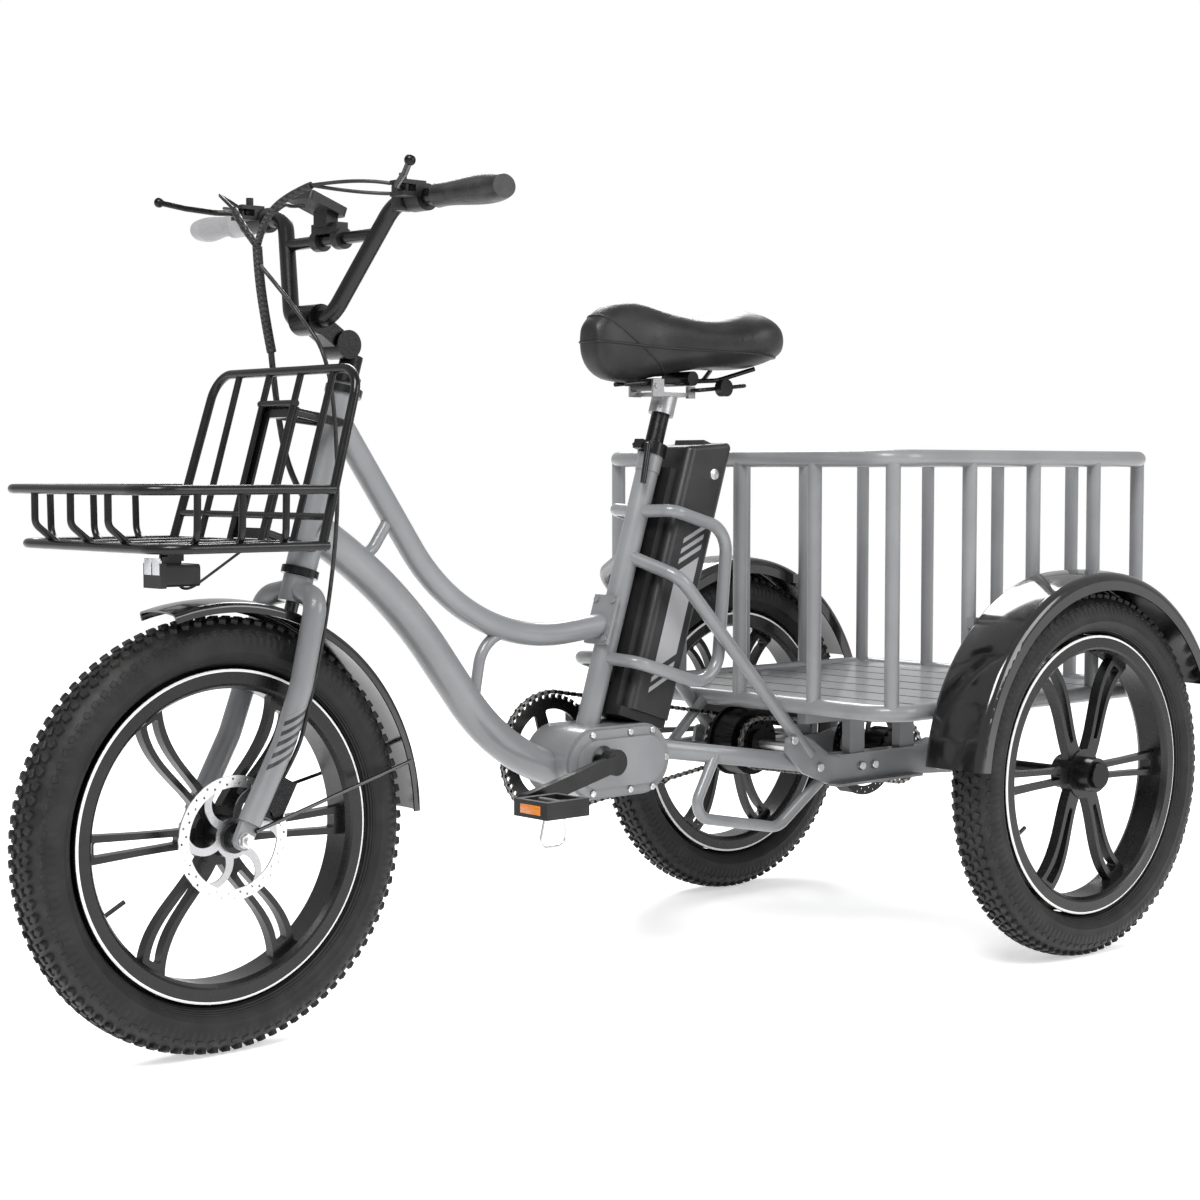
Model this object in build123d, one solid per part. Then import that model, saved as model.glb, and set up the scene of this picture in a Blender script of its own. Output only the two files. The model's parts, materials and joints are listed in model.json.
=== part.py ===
from build123d import *
import os
from math import atan2, cos, degrees, hypot, pi, radians, sin, sqrt

# Adult electric tricycle. +X is forward, +Y is the rider's left, +Z is up.
# Everything is laid out from the rear axle's centre on the ground, then moved so
# that the origin is the middle of the whole machine's footprint.

# Driving dimensions, in millimetres and degrees.
wheel_radius = 280.0          # over the tread, a 20 inch wheel with a fat tyre
wheelbase = 1303.0
rear_track = 766.0            # between the middles of the rear tyres
tyre_width = 80.0
tyre_wall = 5.0
rim_radius = 214.0            # edge of the rim's flange
rim_width = 56.0
rim_flange = 4.0
rim_inner_radius = 192.0
rim_floor = 6.0
arm_thickness = 16.0
hub_radius = 26.0
front_hub_half = 48.0
rear_hub_half = 34.0
rotor_bore = 19.0
valve_angle = 28.0            # below the horizontal, ahead of the axle
running_gap = 0.05            # radial, shaft in a bore
touch_gap = 0.3               # between curved neighbours

head_angle = 16.7             # steering axis from the vertical
head_foot_x = 1172.0
head_foot_z = 606.0
head_length = 258.0
head_radius = 21.0
head_bore = 17.0
cup_radius = 25.0
cup_height = 10.0
steerer_radius = 14.3

seat_angle = 17.85            # seat tube from the vertical
seat_foot_x = 681.0
seat_foot_z = 336.0
seat_tube_length = 452.0
seat_tube_radius = 17.2
seat_tube_bore = 13.65
post_radius = 13.6
post_length = 250.0
post_in_tube = 160.0
hinge_x = 556.0               # the saddle tips forward about this line
hinge_z = 869.0
latch_x = 480.0
latch_z = 863.5

down_tube_radius = 25.0
top_tube_radius = 17.0
tube_wall = 2.0
brace_radius = 8.0
guard_radius = 9.5
stay_radius = 10.0
stay_tall = 14.0              # half sizes of the flattened chainstay
stay_thick = 8.0

battery_half_width = 45.0
cradle_front = 20.0           # behind the seat tube's axis
battery_front = 34.0
battery_back = 120.0
battery_foot = 76.0           # along the seat tube from its foot
battery_front_top = 478.0
battery_back_top = 512.0
guard_half_width = 66.0
stay_half_width = 100.0

case_half_width = 46.0
case_length = 200.0
case_height = 104.0
case_x = 650.0
case_z = 322.0
cover_thickness = 12.0
crank_x = 690.0
crank_z = 327.0
crank_axle_radius = 8.5
crank_length = 170.0
crank_drop = 14.0             # degrees the left arm points below straight ahead
crank_arm_y = 80.0
pedal_length = 70.0
pedal_gap = 10.0              # bare spindle between the crank and the pedal
spindle_radius = 5.0
pedal_half_width = 38.0

basket_front = 353.0
basket_rear = -281.0
basket_half_width = 312.0
basket_top = 762.0
basket_floor = 389.0
basket_corner = 52.0
rail_radius = 12.5
post_tube_radius = 11.0
slat_count = 7
slat_gap = 9.0
slat_thickness = 12.0
slat_wall = 1.5

fender_gap = 33.0             # tread to the crown of the rear mudguard
fender_half_width = 53.0
fender_wall = 2.5
fender_skirt = 30.0
fender_rise = 3.0             # how far the crown bows above its shoulders
fender_from = 6.0             # degrees above the horizontal, ahead of the axle
fender_to = 157.0
front_fender_gap = 19.0
front_fender_half_width = 43.0
front_fender_skirt = 16.0
front_fender_from = 74.0
front_fender_to = 179.0

axle_radius = 8.5
front_axle_radius = 5.0
fork_half_width = 64.0
dropout_half = 4.0
crown_foot = 36.0             # below the head tube, along the steering axis
leg_radius = 15.0
rotor_radius = 80.0
rotor_thickness = 2.0
front_rotor_y = 42.0
rear_rotor_y = -52.0

bar_radius = 11.1
bar_half_width = 338.0
bar_height = 1086.0
grip_x = 1105.0
perch_y = 178.0
lever_pivot_x = 1138.0
lever_pivot_y = 186.0
lever_height = 1095.0
lever_slot = 9.0
grip_length = 124.0
throttle_width = 38.0
crossbar_radius = 8.0
crossbar_height = 1046.0
crossbar_x = 1118.0
display_length = 62.0
display_width = 54.0
display_thickness = 12.0
clamp_x = 1150.0
clamp_z = 940.0

tray_front = 1502.0
tray_rear = 1247.0
tray_half_width = 178.0
tray_top = 721.0
tray_floor = 652.0
wire_radius = 6.0
bar_wire_radius = 4.5
back_top_x = 1190.0
back_top_z = 872.0
lamp_x = 1363.0
lamp_z = 635.0

chain_width = 7.0
chain_height = 5.5
chain_pitch = 12.7
chain_gap = 3.2               # pitch circle to the band's inner face
chainring_teeth = 42
freewheel_teeth = 16
motor_teeth = 16
axle_teeth = 22

motor_x = 336.0
motor_z = 321.0
motor_radius = 50.0
motor_right_y = -38.0
motor_left_y = 14.0
motor_shaft_radius = 7.0
arm_y = 100.0                 # carrier arms from the middle
arm_plate = 6.0
arm_top = 305.0
arm_foot = 255.0
left_chain_y = 24.0
right_chain_y = -60.0

# Footprint centre, from the parts that reach furthest forward and back.
fender_radius = wheel_radius + fender_gap
front_reach = wheelbase + wheel_radius
rear_reach = max(wheel_radius, -fender_radius * cos(radians(fender_to)), rail_radius - basket_rear)
origin_x = (front_reach - rear_reach) / 2

axle_z = wheel_radius


def save(name, *solids):
    """Write one node as STEP, moved to the footprint's middle."""
    shape = Compound(children=[s for s in solids]) if len(solids) > 1 else solids[0]
    export_step(Pos(-origin_x, 0, 0) * shape, f"parts/{name}.step")


def flip(shape):
    """The same piece on the other side of the machine."""
    return shape.mirror(Plane.XZ)


def bent_tube(points, bends, radius, wall=0.0):
    """A round tube, hollow when a wall is given, along straight runs and bends."""
    path = Line(*points) if len(points) == 2 else FilletPolyline(*points, radius=bends)
    section = Circle(radius)
    if wall:
        section -= Circle(radius - wall)
    return sweep(Plane(origin=path @ 0, z_dir=path % 0) * section, path)


def rod(start, end, radius):
    """A solid round bar between two points."""
    a, b = Vector(*start), Vector(*end)
    axis = b - a
    return Plane(origin=a, z_dir=axis) * Pos(0, 0, axis.length / 2) * Cylinder(radius, axis.length)


def cross_rod(x, z, y_from, y_to, radius):
    """A solid round bar across the machine."""
    return rod((x, y_from, z), (x, y_to, z), radius)


def ring(x, z, y_from, y_to, outer, inner):
    """A round collar across the machine."""
    spare = 1 if y_to > y_from else -1
    return cross_rod(x, z, y_from, y_to, outer) - cross_rod(x, z, y_from - spare, y_to + spare, inner)


def hex_nut(x, z, y_from, y_to, across):
    """A nut lying across the machine."""
    section = RegularPolygon(across / 2, 6, major_radius=False)
    plane = Plane(origin=(x, y_from, z), z_dir=(0, y_to - y_from, 0))
    return extrude(plane * section, abs(y_to - y_from))


def on_head(distance, forward=0.0, side=0.0):
    """A point a given way up the steering axis."""
    a = radians(head_angle)
    x = head_foot_x - distance * sin(a) + forward * cos(a)
    return (x, side, head_foot_z + distance * cos(a) + forward * sin(a))


def on_seat(distance, back=0.0, side=0.0):
    """A point a given way up the seat tube and behind its axis."""
    a = radians(seat_angle)
    x = seat_foot_x - distance * sin(a) - back * cos(a)
    return (x, side, seat_foot_z + distance * cos(a) - back * sin(a))


def seat_frame(distance, back=0.0, side=0.0):
    """A plane whose Z runs up the seat tube and whose X points back."""
    a = radians(seat_angle)
    return Plane(origin=on_seat(distance, back, side), x_dir=(-cos(a), 0, -sin(a)), z_dir=(-sin(a), 0, cos(a)))


# ---- frame tubes ----

def head_tube():
    tube = rod(on_head(cup_height), on_head(head_length - cup_height), head_radius)
    return tube - rod(on_head(0), on_head(head_length), head_bore)


def headset_cups():
    cups = []
    for start in (0.0, head_length - cup_height):
        cup = rod(on_head(start), on_head(start + cup_height), cup_radius)
        cups.append(cup - rod(on_head(start - 1), on_head(start + cup_height + 1), steerer_radius + running_gap))
    return cups


def seat_tube():
    tube = rod(on_seat(14), on_seat(seat_tube_length), seat_tube_radius)
    sleeve = rod(on_seat(seat_tube_length - 26), on_seat(seat_tube_length), seat_tube_radius + 1.2)
    return tube + sleeve - rod(on_seat(0), on_seat(seat_tube_length + 1), seat_tube_bore)


def seat_tube_solid():
    return rod(on_seat(0), on_seat(seat_tube_length), seat_tube_radius)


def head_tube_solid():
    return rod(on_head(cup_height - 1), on_head(head_length - cup_height + 1), head_radius)


def down_tube_path():
    return [on_head(66), (1020, 0, 580), (826, 0, 331), (700, 0, 304)]


def down_tube(wall=tube_wall):
    tube = bent_tube(down_tube_path(), [700, 330], down_tube_radius, wall)
    return tube - head_tube_solid() - case_box()


def top_tube(wall=tube_wall):
    points = [on_head(215), (889, 0, 493), on_seat(193)]
    tube = bent_tube(points, [300], top_tube_radius, wall)
    return tube - head_tube_solid() - seat_tube_solid()


def gusset():
    """Plate with four bolts where the top tube meets the seat tube."""
    middle, front = 193.0, -seat_tube_radius - 2.3
    plate = seat_frame(middle, front) * Box(5, 50, 74)
    for up in (29, -29):
        for y in (18, -18):
            plate += seat_frame(middle + up, front - 3.5, y) * Rot(0, 90, 0) * Cylinder(4.5, 4)
    return plate - seat_tube_solid() - top_tube(0.0)


def frame_braces():
    """Two small bent tubes between the top tube and the down tube."""
    upper = bent_tube([(1060, 0, 735), (1018, 0, 690), (1058, 0, 632), (1096, 0, 628)], [34, 34], brace_radius)
    lower = bent_tube([(800, 0, 522), (866, 0, 505), (884, 0, 405), (868, 0, 372)], [52, 30], brace_radius)
    tubes = down_tube(0.0) + top_tube(0.0)
    return [largest(upper - tubes), largest(lower - tubes)]


def largest(shape):
    """The biggest solid of a cut."""
    return sorted(shape.solids(), key=lambda s: s.volume)[-1]


def battery_guard():
    """Left hoop beside the battery."""
    y = guard_half_width
    points = [on_seat(365, 0, 8), (560, y, 686), (447, y, 655), (470, y, 418), (630, y, 466), on_seat(140, 0, 8)]
    hoop = bent_tube(points, [20, 44, 44, 20], guard_radius)
    return largest(hoop - seat_tube_solid())


def seat_stay():
    """Left stay from the seat tube down to the rear junction plate."""
    y = stay_half_width
    start = on_seat(295, 0, 8)
    points = [start, (562, 84, 588), (296, y - 4, 306)]
    stay = bent_tube(points, [34], stay_radius)
    return largest(stay - seat_tube_solid() - carrier_arm_blank() - rail_cutter(basket_floor) - chainstay_section())


def chainstay_section(shrink=0.0):
    """The flattened tube's section, swept straight from the gear case to the plate."""
    start, end = Vector(575, 30, 334), Vector(306, stay_half_width - 6, 294)
    axis = end - start
    plane = Plane(origin=start, x_dir=(axis.Z, 0, -axis.X), z_dir=axis)
    return extrude(plane * Ellipse(stay_tall - shrink, stay_thick - shrink), axis.length)


def chainstay():
    """Left flattened tube from the gear case back to the junction plate."""
    stay = chainstay_section() - chainstay_section(tube_wall)
    return largest(stay - case_box() - carrier_arm_blank())


def motor_guard():
    """Bent tube under the left chainstay that shields the motor."""
    points = [(462, 57, 317), (519, 62, 228), (346, 76, 196), (270, 92, 262)]
    loop = bent_tube(points, [24, 30], 8.5)
    return largest(loop - chainstay_section() - carrier_arm_blank())


def case_outline(margin=0.0):
    """Rounded outline of the gear case, seen from the side."""
    length, height = case_length + 2 * margin, case_height + 2 * margin
    return Plane(origin=(case_x, 0, case_z), x_dir=(1, 0, 0), z_dir=(0, -1, 0)) * SlotOverall(length, height)


def case_box():
    return extrude(case_outline(), case_half_width, both=True)


def drive_case():
    """Pressed steel case around the bottom bracket."""
    wall = 3.0
    case = case_box() - extrude(case_outline(-wall), case_half_width - wall, both=True)
    case += cross_rod(crank_x, crank_z, -case_half_width - 8, case_half_width, 21)
    case -= cross_rod(crank_x, crank_z, -case_half_width - 20, case_half_width + 20,
                      crank_axle_radius + running_gap)
    return case - seat_tube_solid()


def cover_layer(margin, y, depth):
    """One step of the cover plate."""
    return Pos(0, y, 0) * extrude(case_outline(margin), -depth)


def case_cover():
    """Left cover plate with a raised middle."""
    step = cover_thickness / 2
    cover = cover_layer(-4, case_half_width, step) + cover_layer(-17, case_half_width + step, step)
    return cover - cross_rod(crank_x, crank_z, case_half_width - 1, case_half_width + cover_thickness + 1, 22)


def case_bolts():
    """Seven dome-headed bolts round the cover."""
    edge_high = case_height / 2 - 10
    places = []
    for dx in (55.0, -18.0, -62.0):
        places += [(case_x + dx, case_z + edge_high), (case_x + dx, case_z - edge_high)]
    places.append((case_x - case_length / 2 + 11, case_z))
    y = case_half_width + cover_thickness / 2
    return [bolt_head(x, z, y, 1) for x, z in places]


def bolt_head(x, z, y, side, radius=5.0, height=3.5):
    """A domed bolt head standing on a face that looks sideways."""
    head = cross_rod(x, z, y, y + side * height, radius)
    rim = head.edges().sort_by(Axis.Y)[-1 if side > 0 else 0]
    return fillet(rim, 1.6)


# ---- rear carrier and basket ----

def arm_outline():
    """Side shape of the carrier arm: junction plate, channel and bearing eye."""
    line = Polyline((356, 316), (352, 336), (330, 344), (298, 330), (262, 306), (60, 304), (24, 312), (-44, 308),
                    (-60, 292), (-60, 262), (-36, 250), (60, 256), (262, 258), (288, 268), (318, 280), close=True)
    return Plane.XZ * make_face(line)


def carrier_arm_blank():
    return Pos(0, arm_y + arm_plate / 2, 0) * extrude(arm_outline(), arm_plate)


def carrier_arm():
    """Left carrier arm with flanges and the axle's bearing housing."""
    arm = carrier_arm_blank()
    for z in (arm_top - 2, arm_foot + 2):
        arm += Pos(160, arm_y + 12, z) * Box(200, 24, 4)
    arm += cross_rod(0, axle_z, arm_y - 16, arm_y + 16, 22)
    arm -= cross_rod(0, axle_z, arm_y - 20, arm_y + 20, axle_radius + running_gap)
    return arm


def basket_rail(z, radius=rail_radius):
    """A rounded rectangle of tube."""
    w, d = basket_half_width, basket_corner
    corners = [(basket_front, w), (basket_rear, w), (basket_rear, -w), (basket_front, -w)]
    path = FilletPolyline(*[(x, y, z) for x, y in corners], radius=d, close=True)
    section = Plane(origin=path @ 0, z_dir=path % 0) * (Circle(radius) - Circle(radius - tube_wall))
    return sweep(section, path)


def basket_post_places():
    """Three posts a side and one in each corner."""
    w = basket_half_width
    length = basket_front - basket_rear
    inset = basket_corner * (1 - cos(pi / 4))
    places = []
    for share in (0.25, 0.5, 0.75):
        places += [(basket_front - 17 - share * (length - 17), side * w) for side in (1, -1)]
        places += [(x, w * (2 * share - 1)) for x in (basket_front, basket_rear)]
    for x in (basket_front - inset, basket_rear + inset):
        places += [(x, side * (w - inset)) for side in (1, -1)]
    return places


def basket_posts():
    """Upright tubes between the two rails, coped to them."""
    cutters = [rail_cutter(basket_top), rail_cutter(basket_floor)]
    posts = []
    for x, y in basket_post_places():
        post = rod((x, y, basket_floor), (x, y, basket_top), post_tube_radius)
        post -= rod((x, y, basket_floor), (x, y, basket_top), post_tube_radius - tube_wall)
        for cutter in cutters:
            post -= cutter
        posts.append(largest(post))
    return posts


def rail_cutter(z):
    """The basket rail as a solid bar, for the cuts on what meets it."""
    w, d = basket_half_width, basket_corner
    corners = [(basket_front, w), (basket_rear, w), (basket_rear, -w), (basket_front, -w)]
    path = FilletPolyline(*[(x, y, z) for x, y in corners], radius=d, close=True)
    return sweep(Plane(origin=path @ 0, z_dir=path % 0) * Circle(rail_radius), path)


def basket_slats():
    """Flat floor slats across the basket, cut to the rail."""
    length = basket_front - basket_rear - 2 * rail_radius
    pitch = (length + slat_gap) / slat_count
    cutter = rail_cutter(basket_floor)
    slats = []
    for i in range(slat_count):
        x = basket_rear + rail_radius + (i + 0.5) * pitch - slat_gap / 2
        slat = Box(pitch - slat_gap, 2 * basket_half_width - 2, slat_thickness)
        slat -= Box(pitch - slat_gap - 2 * slat_wall, 2 * basket_half_width, slat_thickness - 2 * slat_wall)
        slat = Pos(x, 0, basket_floor) * slat
        slat = slat - cutter
        slats.append(largest(slat))
    return slats


def basket_supports():
    """Two bearers along the floor and the uprights that stand on the carrier arms."""
    top = basket_floor - slat_thickness / 2
    depth, front = 25.0, 332.0
    pieces = []
    for side in (1, -1):
        y = side * (arm_y + 12)
        bearer = Pos((front + basket_rear) / 2, y, top - depth / 2) * Box(front - basket_rear, 18, depth)
        pieces.append(largest(bearer - rail_cutter(basket_floor)))
        for x in (214.0, 96.0):
            height = top - depth - arm_top
            pieces.append(Pos(x, y, arm_top + height / 2) * Box(34, 16, height))
    return pieces


def basket_strut():
    """Strut from the right chainstay to the basket's front rail."""
    strut = rod((432, -70, 322), (basket_front, -74, basket_floor), 8)
    return largest(strut - rail_cutter(basket_floor) - flip(chainstay_section()))


# ---- mudguards ----

def fender_shell(crown, half_width, skirt, wall, start, end):
    """An arched strip from one angle to another round an axle at the origin."""
    rim = crown - skirt

    def outline(top, half, bend):
        low, diagonal = top - fender_rise - bend, bend * sqrt(0.5)
        knee = (low + diagonal, half - bend + diagonal)
        foot, shoulder = (low, half), (low + bend, half - bend)
        edges = [Line((rim, half), foot), ThreePointArc(foot, knee, shoulder)]
        edges += [ThreePointArc(shoulder, (top, 0), (shoulder[0], -shoulder[1]))]
        edges += [ThreePointArc((shoulder[0], -shoulder[1]), (knee[0], -knee[1]), (low, -half))]
        return edges + [Line((low, -half), (rim, -half))]

    bend = 0.42 * skirt
    edges = outline(crown, half_width, bend) + outline(crown - wall, half_width - wall, bend - wall)
    edges += [Line((rim, y), (rim, y - wall if y > 0 else y + wall)) for y in (half_width, -half_width)]
    strip = revolve(Plane.XY * make_face(edges), Axis.Y, end - start)
    return Rot(0, -end, 0) * strip


def rear_fender():
    shell = fender_shell(fender_radius, fender_half_width, fender_skirt, fender_wall, fender_from, fender_to)
    return Pos(0, rear_track / 2, axle_z) * shell


def fender_stays():
    """Blocks that hold the left mudguard to two of the basket's side posts."""
    inner = rear_track / 2 - fender_half_width - touch_gap
    radius = fender_radius - fender_skirt / 2
    length = basket_front - basket_rear
    stays = []
    for share in (0.25, 0.75):
        x = basket_front - 17 - share * (length - 17)
        z = axle_z + sqrt(radius ** 2 - x ** 2)
        block = Pos(x, (basket_half_width + inner) / 2, z) * Box(20, inner - basket_half_width, 16)
        post = rod((x, basket_half_width, z - 40), (x, basket_half_width, z + 40), post_tube_radius)
        stays.append(largest(block - post))
    return stays


def front_fender():
    """Front mudguard with its crown tab and two wire stays."""
    crown = wheel_radius + front_fender_gap + fender_wall
    shell = Pos(wheelbase, 0, axle_z) * fender_shell(
        crown, front_fender_half_width, front_fender_skirt, fender_wall, front_fender_from, front_fender_to)
    tab = rod(on_head(-crown_foot), on_head(-crown_foot - 16), 9)
    tab -= cross_rod(wheelbase, axle_z, -60, 60, crown - fender_wall / 2) + fork_leg() + flip(fork_leg())
    a = radians(165)
    hold = crown - front_fender_skirt + 3
    start = (wheelbase + hold * cos(a), front_fender_half_width + 1.4, axle_z + hold * sin(a))
    stay = rod(start, (wheelbase - 15, fork_half_width + dropout_half + 2.6, axle_z + 10), 2.5)
    return shell + tab + stay + flip(stay)


# ---- wheels ----

def tyre():
    """A tyre with its axle along Y at the origin, open towards the rim."""
    bead, half_rim = rim_inner_radius + rim_floor + 0.5, rim_width / 2 - rim_flange - 0.2
    half, top = tyre_width / 2, wheel_radius

    def profile(shrink):
        h, t = half - shrink, top - shrink
        return make_face([
            Polyline((bead, half_rim - shrink), (rim_radius + 3, half_rim - shrink)),
            Line((rim_radius + 3, half_rim - shrink), (rim_radius + 5, half_rim + 4 - shrink)),
            ThreePointArc((rim_radius + 5, half_rim + 4 - shrink), (244, h), (266, h - 9)),
            ThreePointArc((266, h - 9), (t, 0), (266, 9 - h)),
            ThreePointArc((266, 9 - h), (244, -h), (rim_radius + 5, shrink - half_rim - 4)),
            Line((rim_radius + 5, shrink - half_rim - 4), (rim_radius + 3, shrink - half_rim)),
            Polyline((rim_radius + 3, shrink - half_rim), (bead, shrink - half_rim)),
            Line((bead, shrink - half_rim), (bead, half_rim - shrink))])

    outer = revolve(Plane.XY * profile(0), Axis.Y)
    inner = revolve(Plane.XY * profile(tyre_wall), Axis.Y)
    mouth = Rot(90, 0, 0) * Cylinder(bead + 1, 2 * (half_rim - tyre_wall))
    return outer - inner - mouth


def arm_sketch(angle, wave):
    """One double spoke: a wide wavy arm with a long slot down its middle."""
    stops = [(hub_radius - 4, -2.0, 13.0), (72.0, 2.0, 13.0), (115.0, 11.0, 14.5),
             (150.0, 13.0, 16.5), (rim_inner_radius + 2, 0.0, 19.0)]
    slot = [(58.0, 0.5, 4.0), (90.0, 6.0, 5.5), (130.0, 13.0, 7.0), (178.0, 6.5, 9.0)]

    def band(stops):
        high = [(r, wave * off + half) for r, off, half in stops]
        low = [(r, wave * off - half) for r, off, half in stops]
        return make_face([Spline(*high), Line(high[-1], low[-1]), Spline(*low), Line(low[0], high[0])])

    hole = band(slot)
    hole = fillet(hole.vertices(), 3.0)
    return Rot(0, 0, angle) * (band(stops) - hole)


def hub_rod(y_from, y_to, radius):
    """A round bar on the wheel's own axis."""
    return rod((0, y_from, 0), (0, y_to, 0), radius)


def mag_rim(wave, hub_half, spigot, bore):
    """A cast wheel with six double spokes, its axle along Y at the origin."""
    half, r0 = rim_width / 2, rim_inner_radius
    points = [(r0, half - 2), (r0 + 3, half), (rim_radius - 3, half), (rim_radius, half - 2),
              (rim_radius, half - rim_flange), (r0 + rim_floor, half - rim_flange),
              (r0 + rim_floor, rim_flange - half), (rim_radius, rim_flange - half), (rim_radius, 2 - half),
              (rim_radius - 3, -half), (r0 + 3, -half), (r0, 2 - half), (r0 - 4, 8 - half), (r0 - 4, half - 8)]
    wheel = revolve(Plane.XY * make_face(Polyline(*points, close=True)), Axis.Y)
    thin = arm_thickness / 2
    for k, lean in enumerate((0, -1, 1, 0, -1, 1)):
        wheel += extrude(Plane.XZ * arm_sketch(60 * k, lean * wave), thin, both=True)
    wheel -= revolve(Plane.XY * Pos(r0 + rim_floor + 10, 0) * Rectangle(20, rim_width - 2 * rim_flange), Axis.Y)
    wheel += hub_rod(-hub_half, hub_half, hub_radius) + hub_rod(-thin - 2, thin + 2, hub_radius + 12)
    if spigot:
        wheel += hub_rod(-spigot, spigot, rotor_bore - 0.1)
    wheel -= hub_rod(-hub_half - spigot, hub_half + spigot, bore + running_gap)
    valve = Rot(0, valve_angle, 0) * rod((r0 - 42, 0, 0), (r0 - 2, 0, 0), 3.0)
    return wheel + valve


def front_wheel():
    """Rim and tyre between the fork legs."""
    place = Pos(wheelbase, 0, axle_z)
    rim = mag_rim(1.0, front_rotor_y - rotor_thickness / 2, front_hub_half, front_axle_radius)
    return place * rim, place * tyre()


def rear_wheel(side):
    """Rim and tyre of one rear wheel."""
    place = Pos(0, side * rear_track / 2, axle_z)
    return place * mag_rim(-1.0, rear_hub_half, 0.0, axle_radius), place * tyre()


def brake_rotor(x, y):
    """Slotted disc with six swept arms and a drilled rim."""
    sketch = Circle(rotor_radius) - Circle(rotor_radius - 15)
    arm = make_face([ThreePointArc((18, -9), (44, -18), (68, -6)), Line((68, -6), (66, 10)),
                     ThreePointArc((66, 10), (42, -8), (22, 6)), Line((22, 6), (18, -9))])
    for k in range(6):
        sketch += Rot(0, 0, 60 * k) * arm
    sketch += Circle(hub_radius)
    sketch -= Circle(rotor_bore)
    for k in range(24):
        for radius, turn in ((rotor_radius - 4.5, 0.0), (rotor_radius - 10.5, 7.5)):
            sketch -= Rot(0, 0, 15 * k + turn) * Pos(radius, 0) * Circle(1.7)
    return Pos(x, y, axle_z) * extrude(Plane.XZ * sketch, rotor_thickness / 2, both=True)


# ---- steering ----

def fork_leg():
    """Left leg, from the crown down to the dropout."""
    w = fork_half_width
    points = [(1177, 8, 588), (1186, w - 4, 578), (1213, w, 470), (1240, w, 398), (wheelbase - 9, w, axle_z + 20)]
    return bent_tube(points, [24, 100, 100], leg_radius)


def dropout():
    """Flat end plate that takes the axle."""
    y, t = fork_half_width, dropout_half
    foot, top = (wheelbase, axle_z), (wheelbase - 13, axle_z + 27)
    plate = cross_rod(*foot, y - t, y + t, 13) + cross_rod(*top, y - t, y + t, 13)
    lean = degrees(atan2(foot[0] - top[0], top[1] - foot[1]))
    middle = ((foot[0] + top[0]) / 2, y, (foot[1] + top[1]) / 2)
    return plate + Pos(*middle) * Rot(0, -lean, 0) * Box(26, 2 * t, hypot(13, 27))


def fork():
    """Crown, steerer, two raked legs and their dropouts."""
    crown = rod(on_head(-crown_foot), on_head(-1), 20)
    left = fork_leg() + dropout()
    whole = crown + rod(on_head(-20), on_head(head_length + 6), steerer_radius) + left + flip(left)
    whole -= rod(on_head(head_length - 90), on_head(head_length + 20), bar_radius + running_gap)
    return whole - cross_rod(wheelbase, axle_z, -90, 90, front_axle_radius + running_gap)


def front_axle():
    """Axle bar with spacers, washers and nuts."""
    face = fork_half_width + dropout_half
    inner = fork_half_width - dropout_half
    axle = cross_rod(wheelbase, axle_z, -face - 13, face + 13, front_axle_radius)
    for side in (1, -1):
        axle += cross_rod(wheelbase, axle_z, side * (front_hub_half + touch_gap), side * inner, 9)
        axle += cross_rod(wheelbase, axle_z, side * face, side * (face + 2), 10)
        axle += hex_nut(wheelbase, axle_z, side * (face + 2), side * (face + 9), 17)
    return axle


def stem():
    """Quill, locknut, adjustable joint and bar clamp."""
    top = head_length
    post = rod(on_head(top - 80), on_head(top + 36), bar_radius)
    post += rod(on_head(top + 6.2), on_head(top + 15), 19) + rod(on_head(top + 15), on_head(top + 44), 15)
    px, _, pz = on_head(top + 52, 22)
    joint = cross_rod(px, pz, -21, 21, 19)
    length = hypot(clamp_x - px, clamp_z - pz)
    tilt = degrees(atan2(clamp_z - pz, clamp_x - px))
    arm = Pos((px + clamp_x) / 2, 0, (pz + clamp_z) / 2) * Rot(0, -tilt, 0) * Box(length, 30, 26)
    clamp = cross_rod(clamp_x, clamp_z, -24, 24, 20)
    return post + joint + arm + clamp - cross_rod(clamp_x, clamp_z, -40, 40, bar_radius + running_gap)


def handlebar():
    """Riser bar with a cross bar."""
    left = [(clamp_x, 45, clamp_z), (grip_x, 125, bar_height), (grip_x, bar_half_width, bar_height)]
    right = [(x, -y, z) for x, y, z in reversed(left)]
    bar = bent_tube(right + left, [40, 36, 36, 40], bar_radius)
    share = (crossbar_height - clamp_z) / (bar_height - clamp_z)
    y = 45 + share * 80
    return bar + cross_rod(crossbar_x, crossbar_height, -y, y, crossbar_radius)


def grip(side, inner):
    """Rubber grip that widens into a palm rest at its outer end."""
    sections = []
    for y, tall, deep in ((inner, 15.5, 15.5), (inner + 45, 16.0, 16.5), (bar_half_width - 6, 16.5, 20.0),
                          (bar_half_width + 4, 14.5, 17.5)):
        plane = Plane(origin=(grip_x - 0.6 * (deep - 15.5), side * y, bar_height), x_dir=(1, 0, 0),
                      z_dir=(0, side, 0))
        sections.append(plane * Ellipse(deep, tall))
    return loft(sections) - cross_rod(grip_x, bar_height, 0, side * bar_half_width, bar_radius + running_gap)


def grips():
    """The right grip is shorter, to leave room for the throttle."""
    inner = bar_half_width - grip_length
    return [grip(1, inner), grip(-1, inner + throttle_width + 1)]


def throttle_sleeve():
    """Half twist throttle inboard of the right grip."""
    y = bar_half_width - grip_length
    return ring(grip_x, bar_height, -y - throttle_width, -y, 17.5, bar_radius + running_gap)


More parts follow.
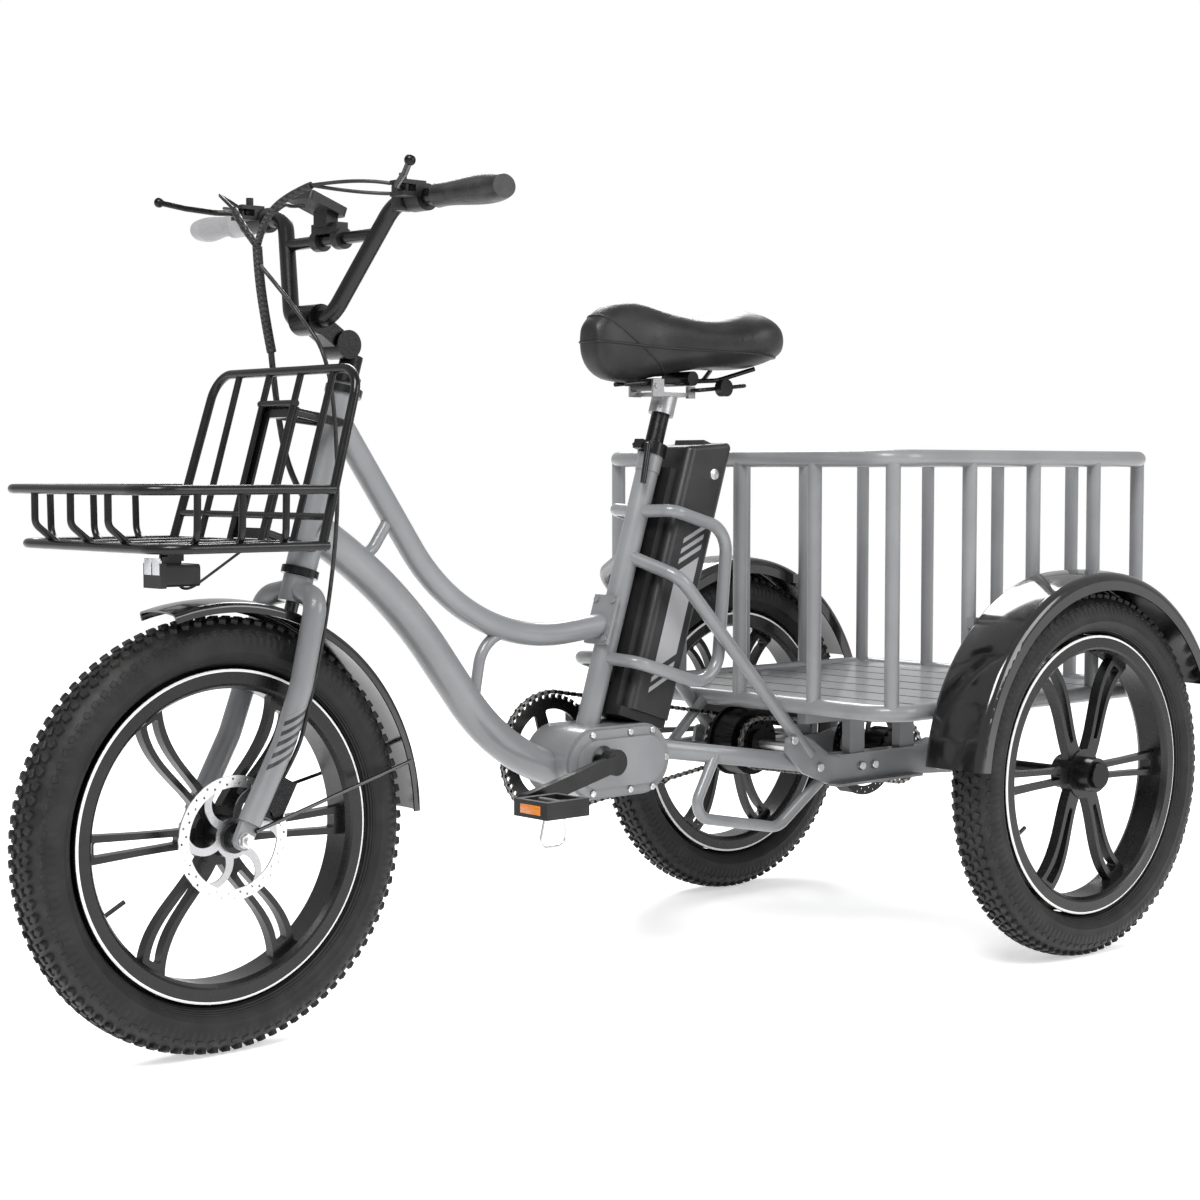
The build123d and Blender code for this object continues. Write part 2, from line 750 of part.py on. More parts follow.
def lever_perch(side):
    """Clamp, slotted body, hinge pin and parking lock button for one brake lever."""
    clamp = ring(grip_x, bar_height, side * (perch_y - 14), side * (perch_y + 14), 17, bar_radius + running_gap)
    body = Pos(lever_pivot_x - 10, side * (perch_y + 4), lever_height) * Box(36, 28, 20)
    body -= cross_rod(grip_x, bar_height, 0, side * 300, bar_radius + 2)
    slot = Pos(lever_pivot_x + 28, side * perch_y, lever_height) * Box(80, 90, lever_slot)
    pivot = (lever_pivot_x, side * lever_pivot_y)
    button = Pos(lever_pivot_x - 8, side * (perch_y - 4), lever_height + 15) * Cylinder(5, 10)
    return clamp + (body - slot) + Pos(*pivot, lever_height) * Cylinder(3, 20) + button


def brake_lever(side):
    """Curved blade with a ball end, turning on the perch's pin."""
    x, y, z = lever_pivot_x, side * lever_pivot_y, lever_height
    tip = (1204, side * 287, 1113)
    blade = bent_tube([(x, y, z), (x + 25, y + side * 20, z), (x + 46, y + side * 64, z + 8), tip],
                      [24, 60], 4.0)
    whole = blade + Pos(x, y, z) * Cylinder(8.5, lever_slot - 1) + Pos(*tip) * Sphere(7)
    return whole - Pos(x, y, z) * Cylinder(3 + running_gap, 30)


def display():
    """Wedge shaped display on two bar clamps."""
    x, z = crossbar_x, crossbar_height
    screen = Box(display_length, display_width, display_thickness)
    whole = Pos(x + 21, 0, z + 44) * Rot(0, -20, 0) * fillet(screen.edges().filter_by(Axis.Z), 6)
    whole += Pos(x + 2, 0, z + 14) * Box(18, 58, 14)
    whole += Pos(x + 8, 0, z + 28) * Box(18, 30, 24)
    for y in (24, -24):
        whole += cross_rod(x, z, y - 7, y + 7, 14)
    return whole - cross_rod(x, z, -80, 80, crossbar_radius + running_gap)


def caliper_body(turn, side=1):
    """Brake block that straddles a disc's rim, standing at the origin with its bolt heads."""
    block = Box(28, 30, 56)
    for dz in (19, -19):
        block += Pos(0, side * 13, dz) * Rot(90, 0, 0) * Cylinder(5, 10)
    return Rot(0, turn, 0) * block


def disc_slot(x, y):
    """The space a brake disc turns in."""
    return cross_rod(x, axle_z, y - 2, y + 2, rotor_radius + 2)


def front_caliper():
    """Mechanical caliper on a bracket behind the left leg."""
    x, z = wheelbase - 59, axle_z + 45
    block = Pos(x, front_rotor_y + 3, z) * caliper_body(-28.9)
    block -= disc_slot(wheelbase, front_rotor_y)
    bracket = Pos(x, front_rotor_y + 19.5, z) * Rot(0, -28.9, 0) * Pos(14, 0, 2) * Box(44, 3, 44)
    return block + largest(bracket - fork_leg() - dropout())


def rear_caliper():
    """Mechanical caliper on a bracket from the right carrier arm."""
    block = Pos(60, rear_rotor_y, 237) * caliper_body(53, -1) - disc_slot(0, rear_rotor_y)
    inner = -arm_y + arm_plate / 2
    bracket = Pos(66, (inner - 64) / 2, 262) * Box(36, -64 - inner, 10)
    bracket += Pos(66, -66, 252) * Box(36, 4, 30)
    return block + bracket


# ---- drive ----

def pitch_radius(teeth):
    return chain_pitch / (2 * sin(pi / teeth))


def sprocket(x, z, y, teeth, thickness=3.0):
    """Toothed disc across the machine."""
    radius = pitch_radius(teeth)
    sketch = Circle(radius + 2.6)
    for k in range(teeth):
        sketch -= Rot(0, 0, 360 * (k + 0.5) / teeth) * Pos(radius + 0.6, 0) * Circle(3.6)
    return Pos(x, y, z) * extrude(Plane.XZ * sketch, thickness / 2, both=True)


def crank_eye(side):
    """Where the pedal's spindle crosses, for the left arm or the right."""
    turn = radians(crank_drop)
    return (crank_x + side * crank_length * cos(turn), crank_z - side * crank_length * sin(turn))


def crank_arm(side):
    """One crank arm with its boss and the pedal's eye."""
    y = side * crank_arm_y
    ex, ez = crank_eye(side)
    boss = cross_rod(crank_x, crank_z, y - side * 9, y + side * 9, 19)
    eye = cross_rod(ex, ez, y - side * 3, y + side * 11, 13)
    bar = Pos((ex + crank_x) / 2, y + side * 4, (ez + crank_z) / 2) * Rot(0, crank_drop, 0) * Box(crank_length, 13, 24)
    return boss + eye + bar + cross_rod(ex, ez, y + side * 10, y + side * (pedal_gap + pedal_length + 5), spindle_radius)


def crankset():
    """Axle with both arms and the pedal spindles keyed to it."""
    axle = cross_rod(crank_x, crank_z, -crank_arm_y, crank_arm_y, crank_axle_radius)
    return axle + crank_arm(1) + crank_arm(-1)


def chainring():
    """Five armed chainring on the right."""
    disc = sprocket(crank_x, crank_z, right_chain_y, chainring_teeth, 4.0)
    window = make_face([ThreePointArc((30, -8), (32, 0), (30, 8)), Line((30, 8), (58, 30)),
                        ThreePointArc((58, 30), (66, 0), (58, -30)), Line((58, -30), (30, -8))])
    window = fillet(window.vertices(), 4)
    for k in range(5):
        cut = extrude(Plane.XZ * (Rot(0, 0, 72 * k + 36) * window), 6, both=True)
        disc -= Pos(crank_x, right_chain_y, crank_z) * cut
    return disc - cross_rod(crank_x, crank_z, right_chain_y - 20, right_chain_y + 20, crank_axle_radius)


def pedal(side):
    """Cage pedal with a bored core."""
    ex, ez = crank_eye(side)
    inner = crank_arm_y + 12 + pedal_gap
    middle = side * (inner + pedal_length / 2)
    w = 2 * pedal_half_width
    cage = Box(w, pedal_length, 24) - Box(w - 16, pedal_length - 20, 40) + Box(w - 10, 8, 14)
    whole = Pos(ex, middle, ez) * cage + cross_rod(ex, ez, side * inner, side * (inner + pedal_length), 11)
    return whole - cross_rod(ex, ez, side * (inner - 5), side * (inner + pedal_length - 6), spindle_radius + running_gap)


def hub_motor():
    """Motor drum with its sprocket, turning on a fixed shaft."""
    drum = cross_rod(motor_x, motor_z, motor_right_y, motor_left_y, motor_radius)
    drum += cross_rod(motor_x, motor_z, motor_right_y + 6, motor_right_y + 10, motor_radius + 4)
    drum += cross_rod(motor_x, motor_z, motor_left_y, left_chain_y + 8, 22)
    drum += sprocket(motor_x, motor_z, left_chain_y, motor_teeth)
    return drum - cross_rod(motor_x, motor_z, -80, 80, motor_shaft_radius + running_gap)


def motor_shaft():
    """Fixed shaft between the junction plates."""
    face = arm_y - arm_plate / 2
    return cross_rod(motor_x, motor_z, -face, face, motor_shaft_radius)


def freewheel():
    """Sprocket with a one way clutch beside the motor."""
    wheel = sprocket(motor_x, motor_z, right_chain_y, freewheel_teeth)
    wheel += cross_rod(motor_x, motor_z, right_chain_y - 4, right_chain_y + 18, 24)
    return wheel - cross_rod(motor_x, motor_z, right_chain_y - 30, right_chain_y + 30, motor_shaft_radius + running_gap)


def chain_loop(x1, z1, teeth1, x2, z2, teeth2, y):
    """A chain as a closed band that clears the teeth it wraps."""
    def hull(extra):
        circles = [Pos(x1, z1) * CenterArc((0, 0), pitch_radius(teeth1) + extra, 0, 360),
                   Pos(x2, z2) * CenterArc((0, 0), pitch_radius(teeth2) + extra, 0, 360)]
        return make_hull(circles)
    band = hull(chain_gap + chain_height) - hull(chain_gap)
    return Pos(0, y, 0) * extrude(Plane.XZ * band, chain_width / 2, both=True)


def chains():
    front = chain_loop(crank_x, crank_z, chainring_teeth, motor_x, motor_z, freewheel_teeth, right_chain_y)
    rear = chain_loop(motor_x, motor_z, motor_teeth, 0, axle_z, axle_teeth, left_chain_y)
    return [front, rear]


def rear_axle():
    """Shaft with its differential drum, sprocket and brake disc."""
    end = rear_track / 2 + rear_hub_half
    axle = cross_rod(0, axle_z, -end - 7, end + 7, axle_radius)
    axle += cross_rod(0, axle_z, -30, 12, 38) + cross_rod(0, axle_z, -46, 20, 24)
    axle += sprocket(0, axle_z, left_chain_y, axle_teeth) + cross_rod(0, axle_z, 12, left_chain_y + 6, 24)
    for side in (1, -1):
        axle += cross_rod(0, axle_z, side * (end + touch_gap), side * (end + 7), 20)
    disc = brake_rotor(0, rear_rotor_y) + cross_rod(0, axle_z, rear_rotor_y - 5, -40, 22)
    return axle + disc


# ---- seat ----

def seat_collar():
    """Clamp ring on top of the seat tube."""
    ring_solid = rod(on_seat(seat_tube_length), on_seat(seat_tube_length + 18), 21)
    lug = seat_frame(seat_tube_length + 9, -24) * Box(14, 18, 14)
    return ring_solid + lug - rod(on_seat(400), on_seat(500), post_radius + running_gap)


def collar_lever():
    """Quick release lever through the collar's lug, lying along the left side."""
    bolt = rod(on_seat(seat_tube_length + 9, -26, -14), on_seat(seat_tube_length + 9, -26, 20), 3)
    blade = rod(on_seat(seat_tube_length + 9, -26, 18), on_seat(seat_tube_length - 50, -24, 24), 4.5)
    return bolt + blade - rod(on_seat(seat_tube_length + 9, -26, -9), on_seat(seat_tube_length + 9, -26, 9), 3.2)


def seatpost():
    start = seat_tube_length - post_in_tube
    return rod(on_seat(start), on_seat(start + post_length), post_radius)


def seat_bracket():
    """Clamp on the post with two cheeks that carry the tipping hinge."""
    top = seat_tube_length - post_in_tube + post_length
    x, _, z = on_seat(top)
    clamp = rod(on_seat(top - 26), on_seat(top), 19) - rod(on_seat(top - 40), on_seat(top + 5), post_radius)
    whole = clamp + rod(on_seat(top), on_seat(top + 5), 19)
    deck = Pos(509, 0, z + 5) * Box(74, 40, 6)
    whole += deck
    for y in (25, -25):
        whole += Pos(hinge_x - 4, y, hinge_z - 3) * Box(22, 4, 26)
        whole += Pos(hinge_x - 19, y * 0.86, z + 5) * Box(24, 9, 6)
    whole += cross_rod(hinge_x, hinge_z, -29, 29, 4)
    whole += Pos(latch_x, 20, latch_z - 3) * Box(14, 6, 18) - cross_rod(latch_x, latch_z, 10, 30, 3 + running_gap)
    return whole - rod(on_seat(top - 60), on_seat(top), post_radius)


def saddle_rails():
    """Tipping plate with two rails and their sockets under the saddle."""
    eye = cross_rod(hinge_x, hinge_z, -22.6, 22.6, 8)
    plate = Pos(hinge_x - 48, 0, hinge_z + 8.5) * Box(92, 40, 5)
    whole = eye + plate
    for y in (16, -16):
        whole += bent_tube([(604, y * 0.7, 870.4), (575, y, 873), (420, y, 880), (372, y * 3, 898.1)], [20, 30], 3.5)
    whole += cross_rod(hinge_x - 73, hinge_z + 12, -29, 29, 11)
    return whole - cross_rod(hinge_x, hinge_z, -30, 30, 4 + running_gap)


def seat_latch():
    """Wire lever with a round knob that locks the tipping plate."""
    front, rear, y = latch_x, latch_x - 97, 42
    wire_bar = bent_tube([(front, 14, latch_z), (front, y, latch_z), (rear, y, latch_z + 9), (rear, 27, latch_z + 9)],
                         [8, 8], 3)
    x, z = latch_x - 40, latch_z + 4
    return wire_bar + cross_rod(x, z, y + 2, y + 15, 13) + cross_rod(x, z, y - 4, y + 4, 5)


def saddle():
    """Padded seat as one closed form through sections from tail to nose."""
    stations = [(330, 56, 957, 927), (342, 88, 970, 908), (375, 106, 986, 900), (420, 104, 976, 899),
                (458, 90, 968, 898), (502, 68, 972, 892), (560, 46, 985, 881), (610, 38, 992, 873),
                (650, 33, 980, 880), (673, 20, 960, 912)]
    sections = []
    for x, half, top, low in stations:
        plane = Plane(origin=(x, 0, (top + low) / 2), x_dir=(0, 1, 0), z_dir=(1, 0, 0))
        tall = (top - low) / 2
        points = []
        for k in range(16):
            a = 2 * pi * k / 16
            c, s = cos(a), sin(a)
            points.append((half * abs(c) ** 0.8 * (1 if c > 0 else -1), tall * abs(s) ** 0.7 * (1 if s > 0 else -1)))
        sections.append(plane * make_face(Spline(*points, periodic=True)))
    return loft(sections)


# ---- battery ----

def block_behind(low, high_front, high_back, front, back, half):
    """A block along the seat tube with a sloped top."""
    a = radians(seat_angle)
    outline = Polyline((front, low), (back, low), (back, high_back), (front, high_front), close=True)
    plane = Plane(origin=on_seat(0), x_dir=(-cos(a), 0, -sin(a)), z_dir=(0, 1, 0))
    return extrude(plane * make_face(outline), half, both=True)


def battery():
    """Battery case with rounded rear edges and a grip recess in its top."""
    case = block_behind(battery_foot + touch_gap, battery_front_top, battery_back_top,
                        battery_front, battery_back, battery_half_width)
    along = [e for e in case.edges() if e.length > 350]
    case = fillet(along, 12)
    case = fillet(case.edges().group_by(Axis.Z)[-1], 8)
    recess = seat_frame(502, (battery_front + battery_back) / 2) * Box(40, 62, 44)
    bar = seat_frame(494, (battery_front + battery_back) / 2) * Box(16, 62, 10)
    return case - recess + bar


def battery_cradle():
    """Channel on the seat tube with a foot that the battery stands on."""
    rail = block_behind(battery_foot - 12, 440, 440, cradle_front, battery_front - touch_gap, 28)
    foot = block_behind(battery_foot - 14, battery_foot, battery_foot, cradle_front, battery_back - 6, 40)
    whole = rail + foot
    for s in (120, 380):
        whole += seat_frame(s, cradle_front / 2 + 7) * Box(cradle_front - 4, 20, 24)
    return whole - seat_tube_solid() - case_box()


# ---- front basket ----

def wire(points, bends, radius=bar_wire_radius):
    return bent_tube(points, bends, radius)


def basket_back_x(z):
    """Where the front basket's leaning back frame is at a height."""
    foot = tray_floor - 6
    share = (z - foot) / (back_top_z - foot)
    return tray_rear + 10 + share * (back_top_x - tray_rear - 10)


def front_basket():
    """Welded wire tray with a tall back frame."""
    w, top, floor = tray_half_width, tray_top, tray_floor
    front, rear, low = tray_front, tray_rear, tray_front - 20
    basket = wire([(rear - 7, w, top), (front, w, top), (front, -w, top), (rear - 7, -w, top)], [40, 40], wire_radius)
    basket += wire([(rear + 3, w, floor), (low, w, floor), (low, -w, floor), (rear + 3, -w, floor)],
                   [40, 40], wire_radius)
    back_low = (rear + 10, w - 4, floor - 6)
    basket += wire([back_low, (back_top_x, w - 14, back_top_z), (back_top_x, 14 - w, back_top_z),
                    (back_low[0], -back_low[1], back_low[2])], [36, 36], wire_radius)

    for z, half in ((floor, w - 3), (687, w - 5), (830, 42)):
        basket += cross_rod(basket_back_x(z), z, -half, half, bar_wire_radius)
    for y in (-108, -36, 36, 108):
        basket += wire([(basket_back_x(floor), y, floor), (basket_back_x(back_top_z), y, back_top_z)], [])
    for y in (-90, 0, 90):
        basket += wire([(front, y, top), (front, y, floor + 26), (low - 12, y, floor),
                        (basket_back_x(floor), y, floor + 0.5)], [14, 14])
    for x in (1310, 1372, 1434):
        basket += wire([(x, w, top), (x, w - 2, floor), (x, 2 - w, floor), (x, -w, top)], [22, 22])
    return basket


def basket_bracket():
    """Flat frame with four arms to the head tube, and the lamp's fork."""
    lean = degrees(atan2(tray_rear + 10 - back_top_x, back_top_z - tray_floor + 6))
    offset = (bar_wire_radius + 2.1) / cos(radians(lean))
    middle = 741.0
    frame = Box(4, 76, 176) - Box(10, 50, 148)
    frame = Pos(basket_back_x(middle) - offset, 0, middle) * Rot(0, -lean, 0) * frame
    arms = []
    for y, foot in ((30, 16), (-30, -16)):
        upper = [(basket_back_x(820) - offset, y, 820), (1155, y, 812), (1112, foot, 806)]
        lower = [(basket_back_x(665) - offset, y, 665), (1205, y, 652), (1160, foot, 642)]
        arms += [largest(wire(points, [12], 6) - head_tube_solid()) for points in (upper, lower)]
    lamp_fork = Pos(lamp_x, 0, tray_floor - bar_wire_radius - 1.2) * Box(22, 26, 2.4)
    for y in (11.5, -11.5):
        lamp_fork += Pos(lamp_x, y, lamp_z + 4) * Box(20, 3, 16)
    lamp_fork += cross_rod(lamp_x, lamp_z, -12, 12, 3)
    return [frame + arms[0] + arms[1] + arms[2] + arms[3], lamp_fork]


def headlight():
    """Lamp housing with a flared bezel, hung from its hinge."""
    body = Pos(lamp_x - 5, 0, 613) * Box(50, 38, 28)
    body = fillet(body.edges().filter_by(Axis.X), 5)
    bezel = Pos(lamp_x + 24, 0, 613) * Box(8, 42, 31)
    ear = Pos(lamp_x, 0, 629) * Box(18, 18, 14) + cross_rod(lamp_x, lamp_z, -9, 9, 6)
    return body + bezel + ear - cross_rod(lamp_x, lamp_z, -20, 20, 3 + running_gap)


# ---- wiring and small parts ----

def control_cables():
    """Brake hose, gear cable and display harness from the bars to the down tube and the caliper."""
    join = (1206, -40, 1035)
    left = bent_tube([(1149, 172, 1101), (1196, 120, 1104), (1214, 20, 1072), join], [40, 40], 4)
    right = bent_tube([(1149, -172, 1101), (1192, -128, 1098), join], [40], 4)
    trunk = bent_tube([join, (1172, -60, 900), (1160, -62, 790), (1128, -46, 700), (1085, -26, 652),
                       (1052, -18, 629)], [120, 100, 70, 30], 6.5)
    hose = bent_tube([(1204, -36, 1010), (1184, 54, 900), (1150, 54, 640), (1176, 60, 525), (1209, 58, 402),
                      (1230.2, 45, 349.8)], [60, 120, 90, 30], 3)
    return [largest(left + right + trunk + hose - down_tube(0.0))]


def controller_box():
    """Finned motor controller under the basket's floor."""
    x, y, z = 235, -40, 362.0
    box = Pos(x, y, z) * Box(70, 100, 41)
    for k in range(6):
        box -= Pos(x - 30 + 12 * k, y, z - 18) * Box(5, 104, 8)
    return box


def frame_bolts():
    """Fasteners on the frame, with the wire stand loop under the gear case."""
    bolts = []
    for side in (1, -1):
        face = arm_y + arm_plate / 2
        for x, z in ((282, 286), (340, 333), (185, 280), (155, 280)):
            bolts.append(bolt_head(x, z, side * face, side, 7, 5))
    loop = bent_tube([(716, 0, 284), (712, 0, 200), (762, 0, 200), (738, 0, 296)], [12, 12], 2)
    return bolts + [largest(loop - case_box() - down_tube(0.0))]


def main():
    os.makedirs("parts", exist_ok=True)
    both = (1, -1)
    save("head_tube", head_tube())
    save("headset_cups", *headset_cups())
    save("down_tube", down_tube())
    save("top_tube", top_tube())
    save("frame_braces", *frame_braces(), gusset())
    save("seat_tube", seat_tube())
    for name, make in (("battery_guards", battery_guard), ("seat_stays", seat_stay),
                       ("carrier_arms", carrier_arm), ("rear_fenders", rear_fender)):
        piece = make()
        save(name, piece, flip(piece))
    save("chainstays", chainstay(), flip(chainstay()), motor_guard())
    save("drive_case", drive_case())
    save("case_cover", case_cover())
    save("basket_top_rail", basket_rail(basket_top))
    save("basket_floor_rail", basket_rail(basket_floor))
    save("basket_posts", *basket_posts())
    save("basket_slats", *basket_slats())
    stays = fender_stays()
    save("basket_supports", *basket_supports(), basket_strut(), *stays, *[flip(s) for s in stays])
    save("front_basket", front_basket())
    save("basket_bracket", *basket_bracket())
    save("battery_cradle", battery_cradle())
    save("frame_bolts", *frame_bolts(), *case_bolts(), motor_shaft())
    save("seat_collar", seat_collar(), *collar_lever().solids())
    save("motor_controller", controller_box())
    save("rear_caliper", rear_caliper())
    save("control_cables", *control_cables())
    save("headlight", headlight())
    save("battery", battery())
    save("seatpost", seatpost())
    save("seat_bracket", seat_bracket())
    save("saddle_rails", saddle_rails())
    save("saddle", saddle())
    save("seat_latch", seat_latch())
    save("fork", fork())
    save("stem", stem())
    save("handlebar", handlebar())
    save("grips", *grips())
    save("lever_perches", *[lever_perch(side) for side in both])
    save("display", display())
    save("front_fender", front_fender())
    save("front_caliper", front_caliper())
    save("front_axle", front_axle())
    save("throttle_sleeve", throttle_sleeve())
    save("brake_lever_left", brake_lever(1))
    save("brake_lever_right", brake_lever(-1))
    rim, rubber = front_wheel()
    save("front_rim", rim)
    save("front_tyre", rubber)
    save("front_rotor", brake_rotor(wheelbase, front_rotor_y))
    for name, side in (("rear_left", 1), ("rear_right", -1)):
        rim, rubber = rear_wheel(side)
        save(f"{name}_rim", rim)
        save(f"{name}_tyre", rubber)
    save("rear_axle", rear_axle())
    save("crankset", crankset())
    save("chainring", chainring())
    save("pedal_left", pedal(1))
    save("pedal_right", pedal(-1))
    save("hub_motor", hub_motor())
    save("freewheel_sprocket", freewheel())
    save("chains", *chains())


main()
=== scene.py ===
import bpy
import json
import math
from mathutils import Matrix, Vector


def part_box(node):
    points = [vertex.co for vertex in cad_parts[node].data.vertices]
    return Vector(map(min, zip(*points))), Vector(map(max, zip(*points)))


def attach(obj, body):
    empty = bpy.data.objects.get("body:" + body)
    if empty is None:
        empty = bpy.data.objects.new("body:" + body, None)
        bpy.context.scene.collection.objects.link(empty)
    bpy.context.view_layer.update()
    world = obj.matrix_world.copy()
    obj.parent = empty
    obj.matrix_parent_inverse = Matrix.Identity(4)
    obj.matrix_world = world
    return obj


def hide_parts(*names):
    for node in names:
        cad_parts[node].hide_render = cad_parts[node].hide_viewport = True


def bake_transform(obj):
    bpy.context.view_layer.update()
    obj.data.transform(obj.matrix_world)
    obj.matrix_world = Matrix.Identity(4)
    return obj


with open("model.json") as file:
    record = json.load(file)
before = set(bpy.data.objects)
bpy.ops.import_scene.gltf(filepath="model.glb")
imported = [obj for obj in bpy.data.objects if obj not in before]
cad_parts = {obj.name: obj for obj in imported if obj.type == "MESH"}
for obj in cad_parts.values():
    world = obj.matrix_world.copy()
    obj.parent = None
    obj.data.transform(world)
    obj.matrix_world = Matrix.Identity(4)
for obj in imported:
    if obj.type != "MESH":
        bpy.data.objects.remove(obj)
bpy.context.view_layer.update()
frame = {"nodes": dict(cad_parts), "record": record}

nodes = frame["nodes"]
print("frame loaded")


# places that several pieces share, read from the CAD nodes

def boxOf(node):
    low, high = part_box(node)
    return Vector(low), Vector(high)


def middleOf(node):
    low, high = boxOf(node)
    return (low + high) / 2


wheels = {"front": middleOf("front_tyre"), "rearLeft": middleOf("rear_left_tyre"),
          "rearRight": middleOf("rear_right_tyre")}
wheelNodes = {"front": "front_tyre", "rearLeft": "rear_left_tyre", "rearRight": "rear_right_tyre"}
wheelBodies = {"front": "front_wheel", "rearLeft": "rear_axle", "rearRight": "rear_right_wheel"}
treadRadius = (boxOf("front_tyre")[1].z - boxOf("front_tyre")[0].z) / 2
tyreHalf = (boxOf("front_tyre")[1].y - boxOf("front_tyre")[0].y) / 2
rearAxleX = wheels["rearLeft"].x
joints = {j["name"]: j for j in frame["record"]["behaviour"]["joints"]}


def jointAt(name):
    return Vector(joints[name]["pos_m"])


def fromAxle(x, y, z):
    # millimetres ahead of the rear axle, to the rider's left and up
    return Vector((rearAxleX + x / 1000, y / 1000, z / 1000))


seatLean = math.radians(17.85)


def onSeat(along, back, side):
    # a place beside the seat tube, in millimetres from the tube's foot
    sine, cosine = math.sin(seatLean), math.cos(seatLean)
    return fromAxle(681 - along * sine - back * cosine, side, 336 + along * cosine - back * sine)


# shader maths

class Val:
    def __init__(self, tree, socket):
        self.tree, self.socket = tree, socket

    def node(self, kind, settings=None, inputs=None, output=0):
        made = self.tree.nodes.new(kind)
        for key, value in (settings or {}).items():
            if key == "stops":
                while len(made.color_ramp.elements) < len(value):
                    made.color_ramp.elements.new(0.5)
                for element, (place, colour) in zip(made.color_ramp.elements, value):
                    element.position, element.color = place, (*colour, 1)
            else:
                setattr(made, key, value)
        for key, value in (inputs or {}).items():
            if isinstance(value, Val):
                self.tree.links.new(value.socket, made.inputs[key])
            else:
                made.inputs[key].default_value = value
        return Val(self.tree, made.outputs[output])

    def maths(self, operation, other=0.0, flipped=False):
        first, second = (other, self) if flipped else (self, other)
        return self.node("ShaderNodeMath", {"operation": operation}, {0: first, 1: second})

    def __add__(self, other): return self.maths("ADD", other)
    def __radd__(self, other): return self.maths("ADD", other, True)
    def __sub__(self, other): return self.maths("SUBTRACT", other)
    def __rsub__(self, other): return self.maths("SUBTRACT", other, True)
    def __mul__(self, other): return self.maths("MULTIPLY", other)
    def __rmul__(self, other): return self.maths("MULTIPLY", other, True)
    def over(self, other): return self.maths("GREATER_THAN", other)
    def under(self, other): return self.maths("LESS_THAN", other)
    def between(self, low, high): return self.over(low) * self.under(high)
    def either(self, other): return self.maths("MAXIMUM", other)

    def part(self, axis):
        return self.node("ShaderNodeSeparateXYZ", None, {0: self}, axis)

    def ramp(self, low, high):
        return self.node("ShaderNodeMapRange", {"interpolation_type": "SMOOTHSTEP"},
                         {"Value": self, "From Min": low, "From Max": high})

    def noise(self, scale, detail=3.0, rough=0.5):
        return self.node("ShaderNodeTexNoise", None, {"Vector": self, "Scale": scale, "Detail": detail,
                                                     "Roughness": rough})

    def cells(self, scale, feature="F1"):
        return self.node("ShaderNodeTexVoronoi", {"feature": feature}, {"Vector": self, "Scale": scale},
                         "Distance")

    def colours(self, first, second):
        # self is the mask that goes from the first colour to the second
        mixed = self.node("ShaderNodeMix", {"data_type": "RGBA"}, {0: self}, 2)
        for place, colour in ((6, first), (7, second)):
            socket = mixed.socket.node.inputs[place]
            if isinstance(colour, Val):
                self.tree.links.new(colour.socket, socket)
            else:
                socket.default_value = (*colour, 1)
        return mixed


class Finish:
    # one material: a Principled surface whose fixed numbers are set on its own sockets
    def __init__(self, name, centre=(0, 0, 0), **fixed):
        self.material = bpy.data.materials.new(name)
        self.material.use_nodes = True
        tree = self.material.node_tree
        tree.nodes.clear()
        self.shader = tree.nodes.new("ShaderNodeBsdfPrincipled")
        out = tree.nodes.new("ShaderNodeOutputMaterial")
        tree.links.new(self.shader.outputs[0], out.inputs[0])
        for key, value in fixed.items():
            self.shader.inputs[key.replace("_", " ")].default_value = value
        where = tree.nodes.new("ShaderNodeTexCoord")
        self.place = Val(tree, where.outputs["Object"])
        if any(centre):
            self.place = self.place.node("ShaderNodeMapping", {"vector_type": "POINT"},
                                         {"Vector": self.place, "Location": [-c for c in centre]})

    def feed(self, name, value):
        value.tree.links.new(value.socket, self.shader.inputs[name])

    def bump(self, height, distance):
        self.feed("Normal", height.node("ShaderNodeBump", None, {"Height": height, "Distance": distance,
                                                                 "Strength": 1.0}))

    def fromAxis(self):
        # distance from the piece's own axle line
        x, z = self.place.part(0), self.place.part(2)
        return (x * x + z * z).maths("SQRT")


def dusty(finish, light, dark, scale=9.0):
    # slow colour change over the piece, with finer specks
    cloud = finish.place.noise(scale, 4.0).ramp(0.35, 0.7)
    return cloud.colours(dark, light)


def paintFinish(name, light, dark, rough, coat, peel=0.00006, gleam=0.5):
    finish = Finish(name, Specular_IOR_Level=gleam, Coat_Roughness=0.08, Coat_Weight=coat, IOR=1.5)
    finish.feed("Base Color", dusty(finish, light, dark))
    grime = finish.place.noise(38, 5.0)
    finish.feed("Roughness", grime.ramp(0.3, 0.75) * 0.12 + rough)
    finish.bump(finish.place.noise(420, 2.0) + finish.place.noise(90, 2.0) * 0.6, peel)
    return finish.material


def plasticFinish(name, light, dark, rough=0.5, grain=0.00012, scale=900):
    finish = Finish(name, Specular_IOR_Level=0.35, IOR=1.48)
    finish.feed("Base Color", dusty(finish, light, dark, 14))
    finish.feed("Roughness", finish.place.noise(60, 4.0) * 0.2 + (rough - 0.1))
    finish.bump(finish.place.cells(scale), grain)
    return finish.material


def metalFinish(name, light, dark, rough=0.28, brushed=(600, 40, 600), coarse=0.00004):
    finish = Finish(name, Metallic=1.0)
    drawn = finish.place.node("ShaderNodeMapping", None, {"Vector": finish.place, "Scale": brushed})
    lines = drawn.noise(1.0, 3.0)
    finish.feed("Base Color", lines.ramp(0.3, 0.7).colours(dark, light))
    finish.feed("Roughness", lines * 0.16 + finish.place.noise(25) * 0.1 + (rough - 0.1))
    finish.bump(lines, coarse)
    return finish.material


